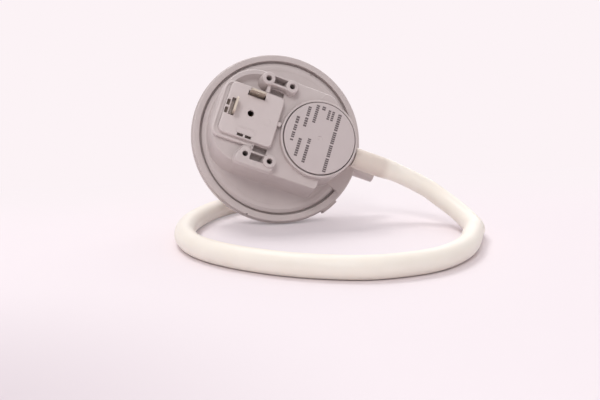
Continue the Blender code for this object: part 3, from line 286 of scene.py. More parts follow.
def soft_silicone(name, colour, shade, scatter, radius, pipe=None):
    """Silicone rubber: milky, soft-edged and faintly greasy to the eye.

    Where the hose is pushed over the grey nozzle, a painted shade stands in for the pipe seen through its
    wall.
    """
    material, output = new_material(name)
    place = own_place(material)
    tone = blend(material, noise(material, place, 9.0, 2.0), colour, shade)
    if pipe:
        # Painted shade: a darker tint where the grey pipe shows through the hose wall.
        tone = add_node(material, "ShaderNodeMix", {"data_type": "RGBA", 7: linear("#DDD1C7")},
                        {0: painted_pipe_shade(material, place, *pipe), 6: tone}).outputs[2]
    relief = bump(material, noise(material, place, 0.8, 3.0), 0.15, 0.03)
    surface = add_node(material, "ShaderNodeBsdfPrincipled",
                       {"Roughness": 0.42, "IOR": 1.41, "Subsurface Weight": scatter,
                        "Subsurface Radius": (radius * MM, 0.92 * radius * MM, 0.85 * radius * MM),
                        "Subsurface Scale": 1.0},
                       {"Base Color": tone, "Normal": relief})
    return finish_material(material, output, surface.outputs["BSDF"])


def sheet_metal(name, colour, shade, roughness):
    """Rolled strip, stamped and plated: metallic, with fine marks along the rolling."""
    material, output = new_material(name)
    place = own_place(material)
    grain = (0.15, 0.15, 4.0)
    run = add_node(material, "ShaderNodeMapping",
                   {"Scale": tuple(1 / (size * MM) for size in grain)}, {"Vector": place})
    marks = add_node(material, "ShaderNodeTexNoise", {"Scale": 1.0, "Detail": 3.0},
                     {"Vector": run.outputs["Vector"]}).outputs["Fac"]
    tone = blend(material, marks, colour, shade)
    rough = ramp(material, marks, 0.0, 1.0, roughness - 0.06, roughness + 0.1)
    surface = add_node(material, "ShaderNodeBsdfPrincipled", {"Metallic": 1.0},
                       {"Base Color": tone, "Roughness": rough,
                        "Normal": bump(material, marks, 0.2, 0.01)})
    return finish_material(material, output, surface.outputs["BSDF"])


def printing_ink(name, colour, shade):
    """Thin matt ink pressed on with a soft pad: grey, with slightly uneven cover."""
    material, output = new_material(name)
    place = own_place(material)
    tone = blend(material, noise(material, place, 0.5, 2.0), colour, shade)
    surface = add_node(material, "ShaderNodeBsdfPrincipled", {"IOR": 1.5, "Roughness": 0.6},
                       {"Base Color": tone})
    return finish_material(material, output, surface.outputs["BSDF"])


def glow(material, colour):
    return add_node(material, "ShaderNodeEmission", {"Color": linear(colour), "Strength": 1.0}).outputs[0]


def mix_shaders(material, share, first, second):
    return add_node(material, "ShaderNodeMixShader", None, {0: share, 1: first, 2: second}).outputs[0]


def seen_colour(name, lit, seen):
    """A paper sheet that reads as one bright tone, with no shadow or fold in it."""
    material, output = new_material(name)
    plain = add_node(material, "ShaderNodeBsdfDiffuse", {"Color": linear(lit)}).outputs[0]
    mix = mix_shaders(material, directly_seen(material), plain, glow(material, seen))
    return finish_material(material, output, mix)


def paper(name, lit, shade, seen):
    """White paper: matt and lit by the lamps near the object, even and bright further off.

    The eye reads it as a sweep without a horizon, with a little painted shade in the near left corner.
    Only what the camera and reflections see fades with distance, so the object's shadow stays.
    The distances are in metres.
    """
    material, output = new_material(name)
    place = own_place(material)
    # Painted shade: the floor colour darkens towards the near left corner.
    corner = distance(material, place, (-0.14, -0.2, 0.0))
    painted_corner_shade = ramp(material, corner, 0.0, 0.13, 1.0, 0.0, "SMOOTHSTEP")
    matt = add_node(material, "ShaderNodeBsdfDiffuse", None,
                    {"Color": blend(material, painted_corner_shade, lit, shade)}).outputs[0]
    axes = add_node(material, "ShaderNodeSeparateXYZ", None, {0: place})
    behind = ramp(material, axes.outputs["Y"], -0.05, 0.12, kind="SMOOTHSTEP")
    around = ramp(material, distance(material, place, (0.0, 0.0, 0.0)), 0.45, 0.9, kind="SMOOTHSTEP")
    share = math_node(material, "MULTIPLY", directly_seen(material),
                      math_node(material, "MAXIMUM", behind, around))
    return finish_material(material, output, mix_shaders(material, share, matt, glow(material, seen)))


def paint(piece, material):
    piece.data.materials.clear()
    piece.data.materials.append(material)


def only(piece):
    """Select one piece and nothing else."""
    bpy.ops.object.select_all(action="DESELECT")
    piece.select_set(True)
    bpy.context.view_layer.objects.active = piece


def arc(radius, first, last, steps):
    """Points round the switch's middle between two angles in degrees."""
    turns = [math.radians(first + (last - first) * i / steps) for i in range(steps + 1)]
    return [(radius * math.cos(t), radius * math.sin(t)) for t in turns]


def softened(corners, closed=False, finest=12.0):
    """Points along a line whose corners, each (x, y, radius), are rounded off."""
    points = []
    for i, (x, y, radius) in enumerate(corners):
        inner = closed or 0 < i < len(corners) - 1
        if not radius or not inner:
            points.append((x, y))
            continue
        here = Vector((x, y))
        back = (Vector(corners[i - 1][:2]) - here).normalized()
        ahead = (Vector(corners[(i + 1) % len(corners)][:2]) - here).normalized()
        bend = math.pi - back.angle(ahead)
        reach = radius * math.tan(bend / 2)
        middle = here + (back + ahead).normalized() * radius / math.cos(bend / 2)
        start, end = here + back * reach - middle, here + ahead * reach - middle
        steps = max(2, math.ceil(math.degrees(bend) / finest))
        for k in range(steps + 1):
            share = k / steps
            spoke = (start * math.sin((1 - share) * bend) + end * math.sin(share * bend)) / math.sin(bend)
            points.append(tuple(middle + spoke))
    return points


def rounded_box(left, right, front, back, radii, finest=30.0):
    """Outline of a box with its own radius at each corner, counter-clockwise from front left."""
    corners = ((left, front, radii[0]), (right, front, radii[1]),
               (right, back, radii[2]), (left, back, radii[3]))
    return softened(corners, True, finest)


def drawn(name, points):
    """Edit a new line that a single vertex is extruded along; it stays in edit mode."""
    bpy.ops.object.select_all(action="DESELECT")
    bpy.ops.mesh.primitive_plane_add(size=1.0, enter_editmode=True)
    piece = bpy.context.object
    piece.name = name
    piece.data.name = name
    bpy.ops.mesh.select_mode(type="VERT")
    bpy.ops.mesh.merge(type="CENTER")
    bpy.ops.transform.translate(value=points[0])
    for a, b in zip(points, points[1:]):
        step = [b[k] - a[k] for k in range(3)]
        bpy.ops.mesh.extrude_vertices_move(TRANSFORM_OT_translate={"value": step})
    return piece


def in_order(piece):
    """List a piece's faces in a fixed order, so that every run hands the same mesh to the cuts."""
    mesh = piece.data
    places = [tuple(vertex.co) for vertex in mesh.vertices]
    faces = sorted((list(face.vertices) for face in mesh.polygons), key=sorted, reverse=True)
    mesh.clear_geometry()
    mesh.from_pydata(places, [], faces)
    return piece


def turned(name, profile, steps=128):
    """A line of (radius, height) points spun round the w axis."""
    piece = drawn(name, [(radius, 0.0, w) for radius, w in profile])
    bpy.ops.mesh.select_all(action="SELECT")
    bpy.ops.mesh.spin(steps=steps, angle=2 * math.pi, center=(0, 0, 0), axis=(0, 0, 1))
    bpy.ops.mesh.select_all(action="SELECT")
    bpy.ops.mesh.remove_doubles(threshold=TURNED_SEAM)
    bpy.ops.mesh.normals_make_consistent(inside=False)
    bpy.ops.object.mode_set(mode="OBJECT")
    return in_order(piece)


def cylinder(name, radius, bottom, top, steps):
    return turned(name, [(0.0, bottom), (radius, bottom), (radius, top), (0.0, top)], steps)


def widening_hole(radius, mouth_radius, inner, neck, mouth, outer, steps=32):
    """Tool for a round hole with a small chamfer at its mouth; inner to outer are heights."""
    return turned("hole", [(0.0, inner), (radius, inner), (radius, neck), (mouth_radius, mouth),
                           (mouth_radius, outer), (0.0, outer)], steps)


def grown(name, outline, bottom, rise, steps=()):
    """A solid raised on an outline; each further step draws its top in and lifts it."""
    piece = drawn(name, [(x, y, bottom) for x, y in outline])
    bpy.ops.mesh.select_all(action="SELECT")
    bpy.ops.mesh.edge_face_add()
    if bmesh.from_edit_mesh(piece.data).faces[0].normal.z * rise < 0:
        bpy.ops.mesh.flip_normals()
    bpy.ops.mesh.extrude_region_move(TRANSFORM_OT_translate={"value": (0, 0, rise)})
    for inward, lift in steps:
        bpy.ops.mesh.inset(thickness=inward, depth=lift, use_even_offset=True)
    bpy.ops.mesh.select_all(action="SELECT")
    bpy.ops.mesh.normals_make_consistent(inside=False)
    bpy.ops.object.mode_set(mode="OBJECT")
    return in_order(piece)


def rounding(radius, steps=3):
    """Steps that round the top edge of a grown solid."""
    turns = [math.pi / 2 * i / steps for i in range(steps + 1)]
    return [(radius * (math.cos(a) - math.cos(b)), radius * (math.sin(b) - math.sin(a)))
            for a, b in zip(turns, turns[1:])]


def flare(radius, steps=3):
    """Steps that sweep the foot of a grown solid up into its wall."""
    return [(inward, lift) for lift, inward in rounding(radius, steps)]


def box(name, left, right, front, back, bottom, top, edge=0.0):
    """A block whose upright edges can be rounded."""
    return grown(name, rounded_box(left, right, front, back, (edge,) * 4), bottom, top - bottom)


def moved(piece, matrix):
    """Move a piece in its mesh by a matrix, keeping its faces outward."""
    only(piece)
    piece.matrix_world = matrix
    bpy.ops.object.transform_apply(location=True, rotation=True, scale=True)
    if matrix.determinant() < 0:
        bpy.ops.object.mode_set(mode="EDIT")
        bpy.ops.mesh.select_all(action="SELECT")
        bpy.ops.mesh.normals_make_consistent(inside=False)
        bpy.ops.object.mode_set(mode="OBJECT")
    return piece


def at(piece, u, v=0.0):
    """Move a piece to its place on the face of the switch."""
    return moved(piece, Matrix.Translation((u, v, 0)))


def along_u(piece, w):
    """Lay a turned piece along the nozzles' direction, at a height."""
    return moved(piece, Matrix.Translation((0, 0, w)) @ Matrix.Rotation(math.pi / 2, 4, "Y"))


def other_side(piece, side):
    """Reflect a piece across the centre line when side is -1."""
    return moved(piece, Matrix.Scale(-1, 4, (0, 1, 0))) if side < 0 else piece


def sealed(piece):
    """Weld the hair-thin seams that cuts leave between neighbouring faces."""
    only(piece)
    bpy.ops.object.mode_set(mode="EDIT")
    bpy.ops.mesh.select_all(action="SELECT")
    bpy.ops.mesh.remove_doubles(threshold=CUT_SEAM)
    bpy.ops.mesh.dissolve_degenerate(threshold=CUT_SEAM)
    bpy.ops.object.mode_set(mode="OBJECT")


def combine(piece, operation, *tools):
    """Apply one Boolean modifier for each tool and drop the tools."""
    for tool in tools:
        step = piece.modifiers.new("shape", "BOOLEAN")
        step.operation = operation
        step.solver = "EXACT"
        step.object = tool
        only(piece)
        bpy.ops.object.modifier_apply(modifier=step.name)
        bpy.data.objects.remove(tool)
    return piece


def cut(piece, *tools):
    return combine(piece, "DIFFERENCE", *tools)


def join(piece, *tools):
    return combine(piece, "UNION", *tools)


def together(*pieces):
    """Join pieces that stay separate bodies into one object."""
    bpy.ops.object.select_all(action="DESELECT")
    for piece in pieces:
        piece.select_set(True)
    bpy.context.view_layer.objects.active = pieces[0]
    bpy.ops.object.join()
    return pieces[0]


def settle(piece, look, body, slot, *nodes):
    """Put a piece drawn in millimetres on the switch, hang it on its body and hide the solids it stands
    for.
    """
    sealed(piece)
    moved(piece, SWITCH @ Matrix.Scale(MM, 4))
    bpy.ops.object.shade_smooth_by_angle(angle=SMOOTH_ANGLE)
    paint(piece, look)
    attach(piece, body)
    if nodes:
        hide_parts(*nodes)


def smooth_path(anchors, spacing, fineness=24):
    """Points at even spacing on a smooth curve through the anchors."""
    fine = []
    padded = [2 * anchors[0] - anchors[1]] + anchors + [2 * anchors[-1] - anchors[-2]]
    for before, start, end, after in zip(padded, padded[1:], padded[2:], padded[3:]):
        for i in range(fineness):
            t = i / fineness
            fine.append(0.5 * (2 * start + (end - before) * t
                               + (2 * before - 5 * start + 4 * end - after) * t * t
                               + (3 * start - before - 3 * end + after) * t ** 3))
    fine.append(anchors[-1])
    lengths = [0.0]
    for a, b in zip(fine, fine[1:]):
        lengths.append(lengths[-1] + (b - a).length)
    count = round(lengths[-1] / spacing)
    points = []
    place = 0
    for i in range(count + 1):
        wanted = lengths[-1] * i / count
        while place < len(fine) - 2 and lengths[place + 1] < wanted:
            place += 1
        share = (wanted - lengths[place]) / (lengths[place + 1] - lengths[place])
        points.append(fine[place].lerp(fine[place + 1], share))
    return points


def hose_rings(bm, path, along):
    """Outer and inner circles of the hose at each point, wider where the nozzle fills it."""
    stretched = (FRONT_NOZZLE_TIP - FRONT_COLLAR_END) * MM
    turns = [2 * math.pi * k / HOSE_SIDES for k in range(HOSE_SIDES)]
    rings = []
    gone = 0.0
    for i, point in enumerate(path):
        before, after = path[max(i - 1, 0)], path[min(i + 1, len(path) - 1)]
        if i:
            gone += (point - path[i - 1]).length
        run = along if gone < stretched else (after - before).normalized()
        side = run.cross(Vector((0, 0, 1))).normalized()
        up = side.cross(run)
        share = min(max((gone - stretched) / (HOSE_STRETCH_END * MM), 0.0), 1.0)
        swell = HOSE_STRETCH * (1 - share * share * (3 - 2 * share))
        rings.append([[bm.verts.new(point + radius * (side * math.cos(t) + up * math.sin(t)))
                       for t in turns]
                      for radius in ((HOSE_RADIUS + swell) * MM, (HOSE_BORE_RADIUS + swell) * MM)])
    return rings


def hose():
    """The whole hose: stretched over the front nozzle, then free to its open end."""
    along = (in_row(1, 0, 0) - in_row(0, 0, 0)).normalized()
    start = in_row(FRONT_COLLAR_END + HOSE_GAP, 0, FRONT_NOZZLE_W)
    tip = in_row(FRONT_NOZZLE_TIP + HOSE_GAP, 0, FRONT_NOZZLE_W)
    straight = (tip - start).length + HOSE_STRAIGHT * MM
    leading = [start + along * straight * share for share in (0.0, 0.35, 0.7, 1.0)]
    under = Vector((CENTRE.x, CENTRE.y, 0))
    path = smooth_path(leading + [under + Vector(point) * MM for point in HOSE_ROUTE], HOSE_SPACING * MM)
    bm = bmesh.new()
    rings = hose_rings(bm, path, along)
    around = [(k, (k + 1) % HOSE_SIDES) for k in range(HOSE_SIDES)]
    for a, b in zip(rings, rings[1:]):
        for wall in (0, 1):
            for k, n in around:
                bm.faces.new((a[wall][k], a[wall][n], b[wall][n], b[wall][k]))
    for end in (rings[0], rings[-1]):
        for k, n in around:
            bm.faces.new((end[0][k], end[0][n], end[1][n], end[1][k]))
    bmesh.ops.recalc_face_normals(bm, faces=bm.faces)
    mesh = bpy.data.meshes.new("silicone_hose")
    bm.to_mesh(mesh)
    bm.free()
    piece = bpy.data.objects.new("silicone_hose", mesh)
    bpy.context.scene.collection.objects.link(piece)
    mesh.shade_smooth()
    mesh.set_sharp_from_angle(angle=HOSE_SMOOTH_ANGLE)
    # The hose colour carries a painted shade over the front nozzle, for the pipe seen through its wall.
    paint(piece, soft_silicone("extruded silicone rubber", "#FBF0E4", "#F8EBDD", 0.6, 3.5,
                               (start.lerp(tip, 0.5), along, (tip - start).length / 2)))
    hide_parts("supply_hose", "hose_sleeve")
    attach(piece, "housing")


def nozzle(collar_start, collar_end, tip, w):
    """A round collar with a smooth stub pipe, its tip rounded for the hose."""
    profile = softened([(0.0, collar_start, 0), (COLLAR_RADIUS, collar_start, 0),
                        (COLLAR_RADIUS, collar_end, 0.35), (PIPE_RADIUS, collar_end, 0.15),
                        (PIPE_RADIUS, tip, 0.55), (0.0, tip, 0)])
    return along_u(turned("nozzle", profile, 48), w)


def nozzle_bore(start, tip, w):
    bore = widening_hole(BORE_RADIUS, BORE_RADIUS + 0.35, start, tip - 0.3, tip + 0.1, tip + 1.0)
    return along_u(bore, w)


def front_ring():
    """Rim, groove, floor and tongue of the front shell."""
    return turned("front_shell", softened([
        (0.0, 1.8, 0), (29.6, 1.8, 0.8), (30.3, 2.0, 0.6), (31.7, 2.0, 0.6), (33.2, 0.9, 0.4),
        (33.35, -0.9, 0.1), (34.2, -0.9, 0.1), (34.2, 1.8, 0.25), (37.0, 1.8, 0.6), (37.0, 0.3, 0.1),
        (34.9, 0.3, 0), (34.9, -1.2, 0.2),
        (31.7, -1.2, 0.2), (31.7, 0.3, 0), (0.0, 0.3, 0),
    ]), 160)


def beam_housing():
    """The raised housing over the beam: drafted walls, swept foot and a soft top edge."""
    outline = rounded_box(-31.8, 21.4, -22.5, 22.5, (17.0, 3.8, 8.0, 17.0), 7.5)
    body = grown("beam housing", outline, 0.8, 1.0,
                 flare(0.6) + [(1.25, 14.4)] + rounding(1.2, 5))
    keep = turned("keep", softened([(0.0, -1.0, 0), (31.0, -1.0, 0), (31.0, 17.6, 0.7),
                                    (0.0, 18.3, 0)]), 160)
    return combine(body, "INTERSECT", keep)


def cup():
    """The round cup over the setpoint spring, open at the top for the lid."""
    return at(turned("cup", softened([
        (0.0, 1.0, 0), (17.9, 1.0, 0), (17.85, 1.8, 0), (17.2, 2.5, 0.8), (16.5, 20.6, 0.42),
        (15.6, 20.6, 0.12), (15.6, 16.8, 0.1), (0.0, 16.8, 0),
    ])), CUP_U)


def boss(u, side):
    """A screw boss: flared foot, drafted post and rounded rim."""
    post = turned("boss", softened([
        (0.0, 11.0, 0), (3.7, 11.0, 0), (3.2, 17.9, 0.9), (3.05, 19.4, 0), (2.62, BOSS_TOP, 0.4),
        (0.0, BOSS_TOP, 0),
    ]), 48)
    return at(post, u, side * BOSS_V)


def boss_hole(u, side):
    return at(widening_hole(1.15, 1.45, 12.6, 22.25, 22.6, 24.0), u, side * BOSS_V)


def pad():
    """The flat foot that carries the lower pair of bosses out to the wall."""
    outline = softened([(-17.4, -21.4, 2.0), (-0.9, -21.4, 2.4), (0.4, -14.6, 2.4), (-11.0, -14.1, 1.0),
                        (-12.4, -12.6, 1.0), (-15.2, -12.9, 1.8), (-17.7, -17.6, 2.0)], True, 15.0)
    return grown("pad", outline, 8.0, 12.0, flare(0.3) + [(0.2, 0.6)] + rounding(0.7))


def recess():
    """Tool for the sunken corner beside the upper left boss."""
    dish = turned("recess", softened([(0.0, 14.9, 0), (10.9, 14.9, 2.2), (13.1, 17.7, 0.5),
                                      (13.4, 19.4, 0), (0.0, 19.4, 0)]), 120)
    at(dish, -14.8, 5.5)
    return combine(dish, "INTERSECT", box("part", -40.0, -12.4, 11.7, 30.0, 10.0, 25.0))


def boss_web(side):
    """The wall that joins two bosses, waisted between them."""
    outline = [(-13.5, 14.3), (-11.5, 14.3), (-10.8, 14.55), (-5.9, 14.55), (-5.2, 14.3), (-3.2, 14.3),
               (-3.2, 19.2), (-5.2, 19.2), (-5.9, 18.95), (-10.8, 18.95), (-11.5, 19.2), (-13.5, 19.2)]
    return other_side(grown("web", outline, 17.0, 5.0, rounding(0.22, 2)), side)


def pockets(side):
    """Tools for the window between the bosses and the latch pocket beside the cover."""
    window = rounded_box(-11.35, -5.35, 15.35, 18.25, (0.3, 0.3, 0.3, 0.3))
    latch = rounded_box(-10.8, -5.0, 11.4, 13.9, (0.3, 0.3, 0.6, 0.6))
    return [other_side(grown("window", window, 16.6, 8.0), side),
            other_side(grown("latch", latch, 15.2, 8.0), side)]


def front_shell(look):
    """Front moulding: rim, beam housing, cup, bosses and the high pressure nozzle."""
    body = front_ring()
    sector = NOZZLE_SECTOR
    filling = arc(34.6, -sector, sector, 20) + arc(32.0, sector, -sector, 20)
    bridge = arc(28.9, sector, -sector, 5) + arc(36.1, -sector, sector, 20)
    join(body, beam_housing(), cup(),
         grown("filling", filling, -0.7, 2.3),
         grown("bridge", bridge, 1.2, 0.8, rounding(0.3, 2)),
         nozzle(26.7, FRONT_COLLAR_END, FRONT_NOZZLE_TIP, FRONT_NOZZLE_W),
         box("collar web", 28.7, 31.8, -2.2, 2.2, 1.3, 11.0, 0.5),
         pad())
    cut(body, recess())
    join(body, box("rib", -12.9, -11.6, 11.0, 14.6, 11.5, 21.0, 0.2),
         box("rib", -11.9, -11.0, -13.6, -11.0, 11.5, 20.0, 0.2))
    for side in (1, -1):
        join(body, boss_web(side))
        cut(body, *pockets(side))
        join(body, *[boss(u, side) for u in BOSS_US])
        cut(body, *[boss_hole(u, side) for u in BOSS_US])
    cut(body,
        grown("chamber", rounded_box(-27.0, 24.0, -10.2, 10.2, (4.0,) * 4, 18.0), -5.0, 20.2),
        grown("well", rounded_box(-27.0, -10.8, -10.2, 10.2, (1.0,) * 4), 10.6, 8.4),
        nozzle_bore(20.0, FRONT_NOZZLE_TIP, FRONT_NOZZLE_W),
        at(cylinder("bush hole", 3.3, 14.2, 17.8, 32), CUP_U))
    for side in (1, -1):
        join(body,
             other_side(box("lug", -10.2, -5.8, 3.8, 5.8, 7.7, 15.5), side),
             other_side(box("rail", 9.0, 19.4, 5.5, 7.3, 11.2, 15.5), side))
    for u, v, w in NICKS:
        nick = turned("nick", [(0.0, w), (0.55, w), (0.65, 4.0), (0.0, 4.0)], 8)
        cut(body, moved(nick, Matrix.Translation((u, v, 0)) @ Matrix.Diagonal((0.7, 1.3, 1, 1))))
    pin = cylinder("pin hole", 1.1, -8.0, 8.0, 24)
    cut(body, moved(pin, Matrix.Translation((-8.0, 0, 9.6)) @ Matrix.Rotation(math.pi / 2, 4, "X")))
    settle(body, look, "housing", "grey_moulding", "front_housing")


def ear(angle):
    """A flat screw ear on the back."""
    outline = rounded_box(24.0, 33.7, -5.25, 5.25, (1.0, 2.2, 2.2, 1.0), 15.0)
    return moved(grown("ear", outline, -11.0, -2.7), Matrix.Rotation(math.radians(angle), 4, "Z"))


def ear_hole(angle):
    turn = math.radians(angle)
    return at(widening_hole(1.6, 1.9, -11.6, -13.75, -14.05, -15.0),
              EAR_HOLE_RADIUS * math.cos(turn), EAR_HOLE_RADIUS * math.sin(turn))


def rear_shell(look):
    """Rear moulding: bowl, clip lug, hub, screw ears and the low pressure nozzle."""
    body = turned("rear_shell", softened([
        (0.0, -12.0, 0), (29.4, -12.0, 1.2), (35.6, -5.0, 2.5), (35.6, -1.9, 0.3),
        (37.5, -1.9, 0.45), (37.5, 0.0, 0.3), (0.0, 0.0, 0),
    ]), 160)
    join(body, turned("hub", softened([
        (0.0, -11.0, 0), (12.4, -11.0, 0), (12.4, -12.0, 0), (12.0, -12.5, 0.4), (11.5, -14.0, 0.4),
        (0.0, -14.0, 0),
    ]), 96))
    for angle in EAR_ANGLES:
        join(body, ear(angle))
        cut(body, ear_hole(angle))
    clip = arc(38.7, -39.0, -27.0, 10) + arc(34.6, -27.0, -39.0, 10)
    join(body, grown("clip", clip, -7.0, 3.1, rounding(0.5, 2)),
         nozzle(27.2, REAR_COLLAR_END, REAR_NOZZLE_TIP, REAR_NOZZLE_W))
    bowl = turned("bowl", [(0.0, -10.2), (27.2, -10.2), (31.4, -4.4), (31.4, -3.0), (35.2, -3.0),
                           (35.2, 1.0), (0.0, 1.0)], 160)
    cut(body, bowl, nozzle_bore(24.2, REAR_NOZZLE_TIP, REAR_NOZZLE_W))
    settle(body, look, "housing", "grey_moulding", "rear_housing")


def raised_frame(left, right, front, back, line, height):
    """A thin raised outline moulded on the cover."""
    outer = grown("frame", rounded_box(left, right, front, back, (0.5,) * 4), COVER_FACE - 0.3,
                  0.3 + height)
    inner = grown("inside", rounded_box(left + line, right - line, front + line, back - line,
                                        (0.3,) * 4), COVER_FACE - 0.5, 1.0)
    return cut(outer, inner)


def slot_tool(u, v, length, width, along_v=False):
    """Tool for a slot or slit in the cover."""
    half_u, half_v = (width / 2, length / 2) if along_v else (length / 2, width / 2)
    return box("slot", u - half_u, u + half_u, v - half_v, v + half_v, 19.9, 23.0, 0.15)


def cover_cap():
    """The raised middle of the cover; its left side leans in a little more than the others."""
    outline = rounded_box(-27.9, -4.4, -11.5, 11.2, (2.8, 2.4, 2.4, 2.8), 10.0)
    cap = grown("cap", outline, COVER_FOOT, 1.45, flare(0.2) + [(0.2, 1.35)] + rounding(0.45, 4))
    only(cap)
    for vertex in cap.data.vertices:
        vertex.select = vertex.co.x < -17.0 and vertex.co.z > 20.5
    bpy.ops.object.mode_set(mode="EDIT")
    bpy.ops.transform.translate(value=(0.4, 0, 0))
    bpy.ops.object.mode_set(mode="OBJECT")
    return cap


def switch_cover(look):
    """Cap over the contacts: a low ledge round it, slots for the tabs and slits beside them."""
    cap = cover_cap()
    ledge = rounded_box(-29.6, -4.9, -12.9, 11.4, (3.6, 1.6, 2.2, 3.6), 10.0)
    body = grown("contact_cover", ledge, COVER_FOOT, 0.45,
                 [(0.05, 1.15)] + rounding(0.35, 3) + [(0.55, 0.0), (0.1, -0.55)])
    cut(body, box("latch side", -11.2, -3.0, -14.0, -11.3, 17.0, 23.0))
    join(body, cap, box("nub", -5.7, -2.9, -0.8, 0.8, COVER_FOOT, 20.5, 0.2))
    cut(body, grown("inside", rounded_box(-27.3, -5.7, -10.2, 10.2, (1.4,) * 4, 18.0), 17.3, 2.9))
    cut(body, slot_tool(-23.95, 0.3, 7.4, 2.3, True), slot_tool(-16.0, 8.05, 7.4, 2.3),
        at(widening_hole(1.3, 1.55, 19.0, 21.3, 21.55, 22.5, 40), -16.2),
        *[slot_tool(-26.2, -0.2 + step, 2.6, 1.3, True) for step in (-1.7, 1.7)],
        *[slot_tool(-16.1 + step, 9.95, 2.6, 1.3) for step in (-1.7, 1.7)],
        *[slot_tool(-16.1 + step, -9.9, 2.6, 1.3) for step in (-1.7, 1.7)])
    join(body, box("shelf", -27.8, -23.85, -4.6, 5.0, 18.4, 19.0),
         box("shelf", -20.6, -11.4, 9.05, 10.6, 18.4, 19.0),
         box("shelf", -19.6, -12.6, -10.6, -8.4, 18.4, 19.0),
         box("shelf", -20.6, -11.4, 6.3, 7.95, 18.7, 19.5),
         box("post", -20.6, -20.0, 6.3, 7.95, 19.2, 20.6),
         box("post", -12.0, -11.4, 6.3, 7.95, 19.2, 20.6))
    gate = turned("gate", softened([(1.35, 21.3, 0), (1.35, 21.57, 0.05), (1.6, 21.57, 0.05),
                                    (1.6, 21.3, 0)]) + [(1.35, 21.3)], 40)
    dot = cylinder("dot", 0.3, 21.3, 21.56, 16)
    body = together(body, raised_frame(-19.9, -12.1, -9.3, -6.7, 0.28, 0.14),
                    at(gate, -8.6, -1.3), at(dot, -8.6, -1.3),
                    raised_frame(-20.4, -11.6, -11.0, -6.2, 0.2, 0.06))
    settle(body, look, "housing", "grey_moulding", "switch_cover")


def lid(look):
    """Round lid with its skirt and the small gate dimple in the middle."""
    body = turned("round_lid", softened([
        (0.0, 20.92, 0), (0.7, 20.92, 0.2), (1.0, LID_FACE, 0.15), (15.15, LID_FACE, 0.3),
        (15.15, 17.9, 0.15), (13.9, 17.9, 0.15), (13.9, 19.8, 0.2), (0.0, 19.8, 0),
    ]))
    settle(at(body, CUP_U), look, "setpoint_lid", "lid_moulding", "setpoint_lid")


def printed_words(u, v, lengths, height):
    """One line of the print: word-long blocks that run along v, cut by small gaps."""
    blocks = []
    for length in lengths:
        marks = max(1, round(length / LETTER_PITCH))
        pitch = length / marks
        for i in range(marks):
            blocks.append(box("mark", u - height / 2, u + height / 2, v, v + pitch - LETTER_GAP,
                              LID_FACE - 0.05, LID_FACE + 0.025))
            v += pitch
        v += WORD_GAP
    return blocks


def lid_print(look):
    """Pad print on the lid, in plain blocks of line length and weight."""
    body = together(*[block for line in PRINT_LINES for block in printed_words(*line)])
    body.name = body.data.name = "lid_print"
    settle(body, look, "setpoint_lid", "lid_moulding")


def camera():
    """The photograph's view, from low in front and to the left."""
    lens = bpy.data.cameras.new("camera")
    lens.lens = CAMERA_LENS
    lens.sensor_width = 36.0
    lens.clip_start = 0.01
    view = bpy.data.objects.new("camera", lens)
    bpy.context.scene.collection.objects.link(view)
    x, y, z = CAMERA_PLACE
    view.location = (CENTRE.x + x * MM, CENTRE.y + y * MM, z * MM)
    level = math.cos(CAMERA_DIP)
    ahead = Vector((CAMERA_HEADING[0] * level, CAMERA_HEADING[1] * level, -math.sin(CAMERA_DIP)))
    view.rotation_euler = ahead.to_track_quat("-Z", "Y").to_euler()
    bpy.context.scene.camera = view


def lamp(name, place, target, size, power, colour):
    """A square soft box that faces its target."""
    data = bpy.data.lights.new(name, "AREA")
    data.shape = "SQUARE"
    data.size = size
    data.energy = power
    data.color = linear(colour)[:3]
    light = bpy.data.objects.new(name, data)
    bpy.context.scene.collection.objects.link(light)
    light.location = place
    light.rotation_euler = (Vector(target) - Vector(place)).to_track_quat("-Z", "Y").to_euler()


def sheet(name, look, place, rotation):
    """A large flat sheet of the studio."""
    bpy.ops.object.select_all(action="DESELECT")
    bpy.ops.mesh.primitive_plane_add(size=STUDIO_SIZE, location=place, rotation=rotation)
    piece = bpy.context.object
    piece.name = name
    paint(piece, look)
    return piece


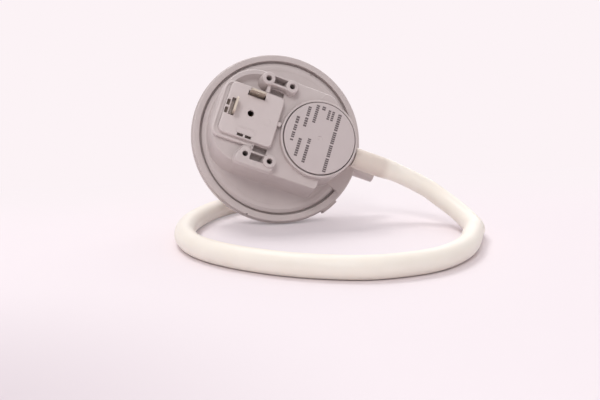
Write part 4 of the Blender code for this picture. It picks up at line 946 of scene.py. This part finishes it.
def pale_room():
    """Even light from all round; seen past the paper's edge it is as bright as the paper."""
    world = bpy.data.worlds.new("pale room")
    world.use_nodes = True
    world.node_tree.nodes.clear()
    output = add_node(world, "ShaderNodeOutputWorld")
    path = add_node(world, "ShaderNodeLightPath")
    light = add_node(world, "ShaderNodeBackground", {"Color": linear("#FFFAFC"), "Strength": ROOM_LEVEL})
    bright = add_node(world, "ShaderNodeBackground", {"Color": linear(BRIGHT_PAPER), "Strength": 1.0})
    mix = mix_shaders(world, path.outputs["Is Camera Ray"], light.outputs[0], bright.outputs[0])
    return finish_material(world, output, mix)


def studio():
    """White paper sweep, three soft boxes and a pale room, about as bright as a colour is written."""
    # The paper's second colour is the painted shade of its near left corner.
    floor = sheet("studio_floor", paper("matt white paper", "#EAE3E7", "#CFC5CB", BRIGHT_PAPER),
                  (0, 0, 0), (0, 0, 0))
    backdrop = sheet("studio_backdrop", seen_colour("bright paper background", "#E8E0E4", BRIGHT_PAPER),
                     (0, 5.5, 0), (math.pi / 2, 0, 0))
    for name, settings in LAMPS.items():
        lamp(name, *settings)
    bpy.context.scene.world = pale_room()


bpy.context.scene.view_settings.view_transform = "Standard"
camera()
hose()
studio()

grey = moulded_plastic("moulded grey polyester", "#C9BFBD", "#C1B6B4", 0.37)
front_shell(grey)
rear_shell(grey)
# Painted light: the cover's copy of the grey moulding is lighter than the housing's, for the brighter
# light on its raised top.
switch_cover(moulded_plastic("moulded grey polyester, cover, painted lighter", "#D0C6C4", "#C9BEBC", 0.37))
lid(moulded_plastic("moulded grey polyester, lid", "#C7BDBC", "#C1B6B5", 0.45))
lid_print(printing_ink("pad printing ink", "#5C5254", "#6E6364"))

dark = moulded_plastic("moulded natural polyamide", "#94877E", "#877A72", 0.5)
tinned = sheet_metal("tin-plated brass strip", "#DDD2C5", "#CCC0B2", 0.5)
red_silicone = soft_silicone("moulded silicone membrane", "#8C4A3A", "#7E4234", 0.1, 2.5)
brass = sheet_metal("stamped brass strip", "#C6A562", "#B08D4F", 0.32)
steel = sheet_metal("plated steel strip", "#B9B9B7", "#A3A3A1", 0.34)
silver = sheet_metal("silver contact", "#DDDBD6", "#CFCDC8", 0.25)
LOOKS = {
    "contact_carrier": dark, "plunger": dark, "diaphragm_plate": dark, "diaphragm": red_silicone,
    "lid_gasket": red_silicone, "clamp_washer": steel, "rocker_beam": steel, "pivot_pin": steel,
    "setpoint_spring": steel, "spring_seat": brass, "screw_bush": brass, "adjusting_screw": brass,
    "terminal_common": tinned, "terminal_switched": tinned, "snap_blade": brass,
    "moving_contact": silver, "fixed_contact": silver,
}
for node_name, look in LOOKS.items():
    paint(frame["nodes"][node_name], look)
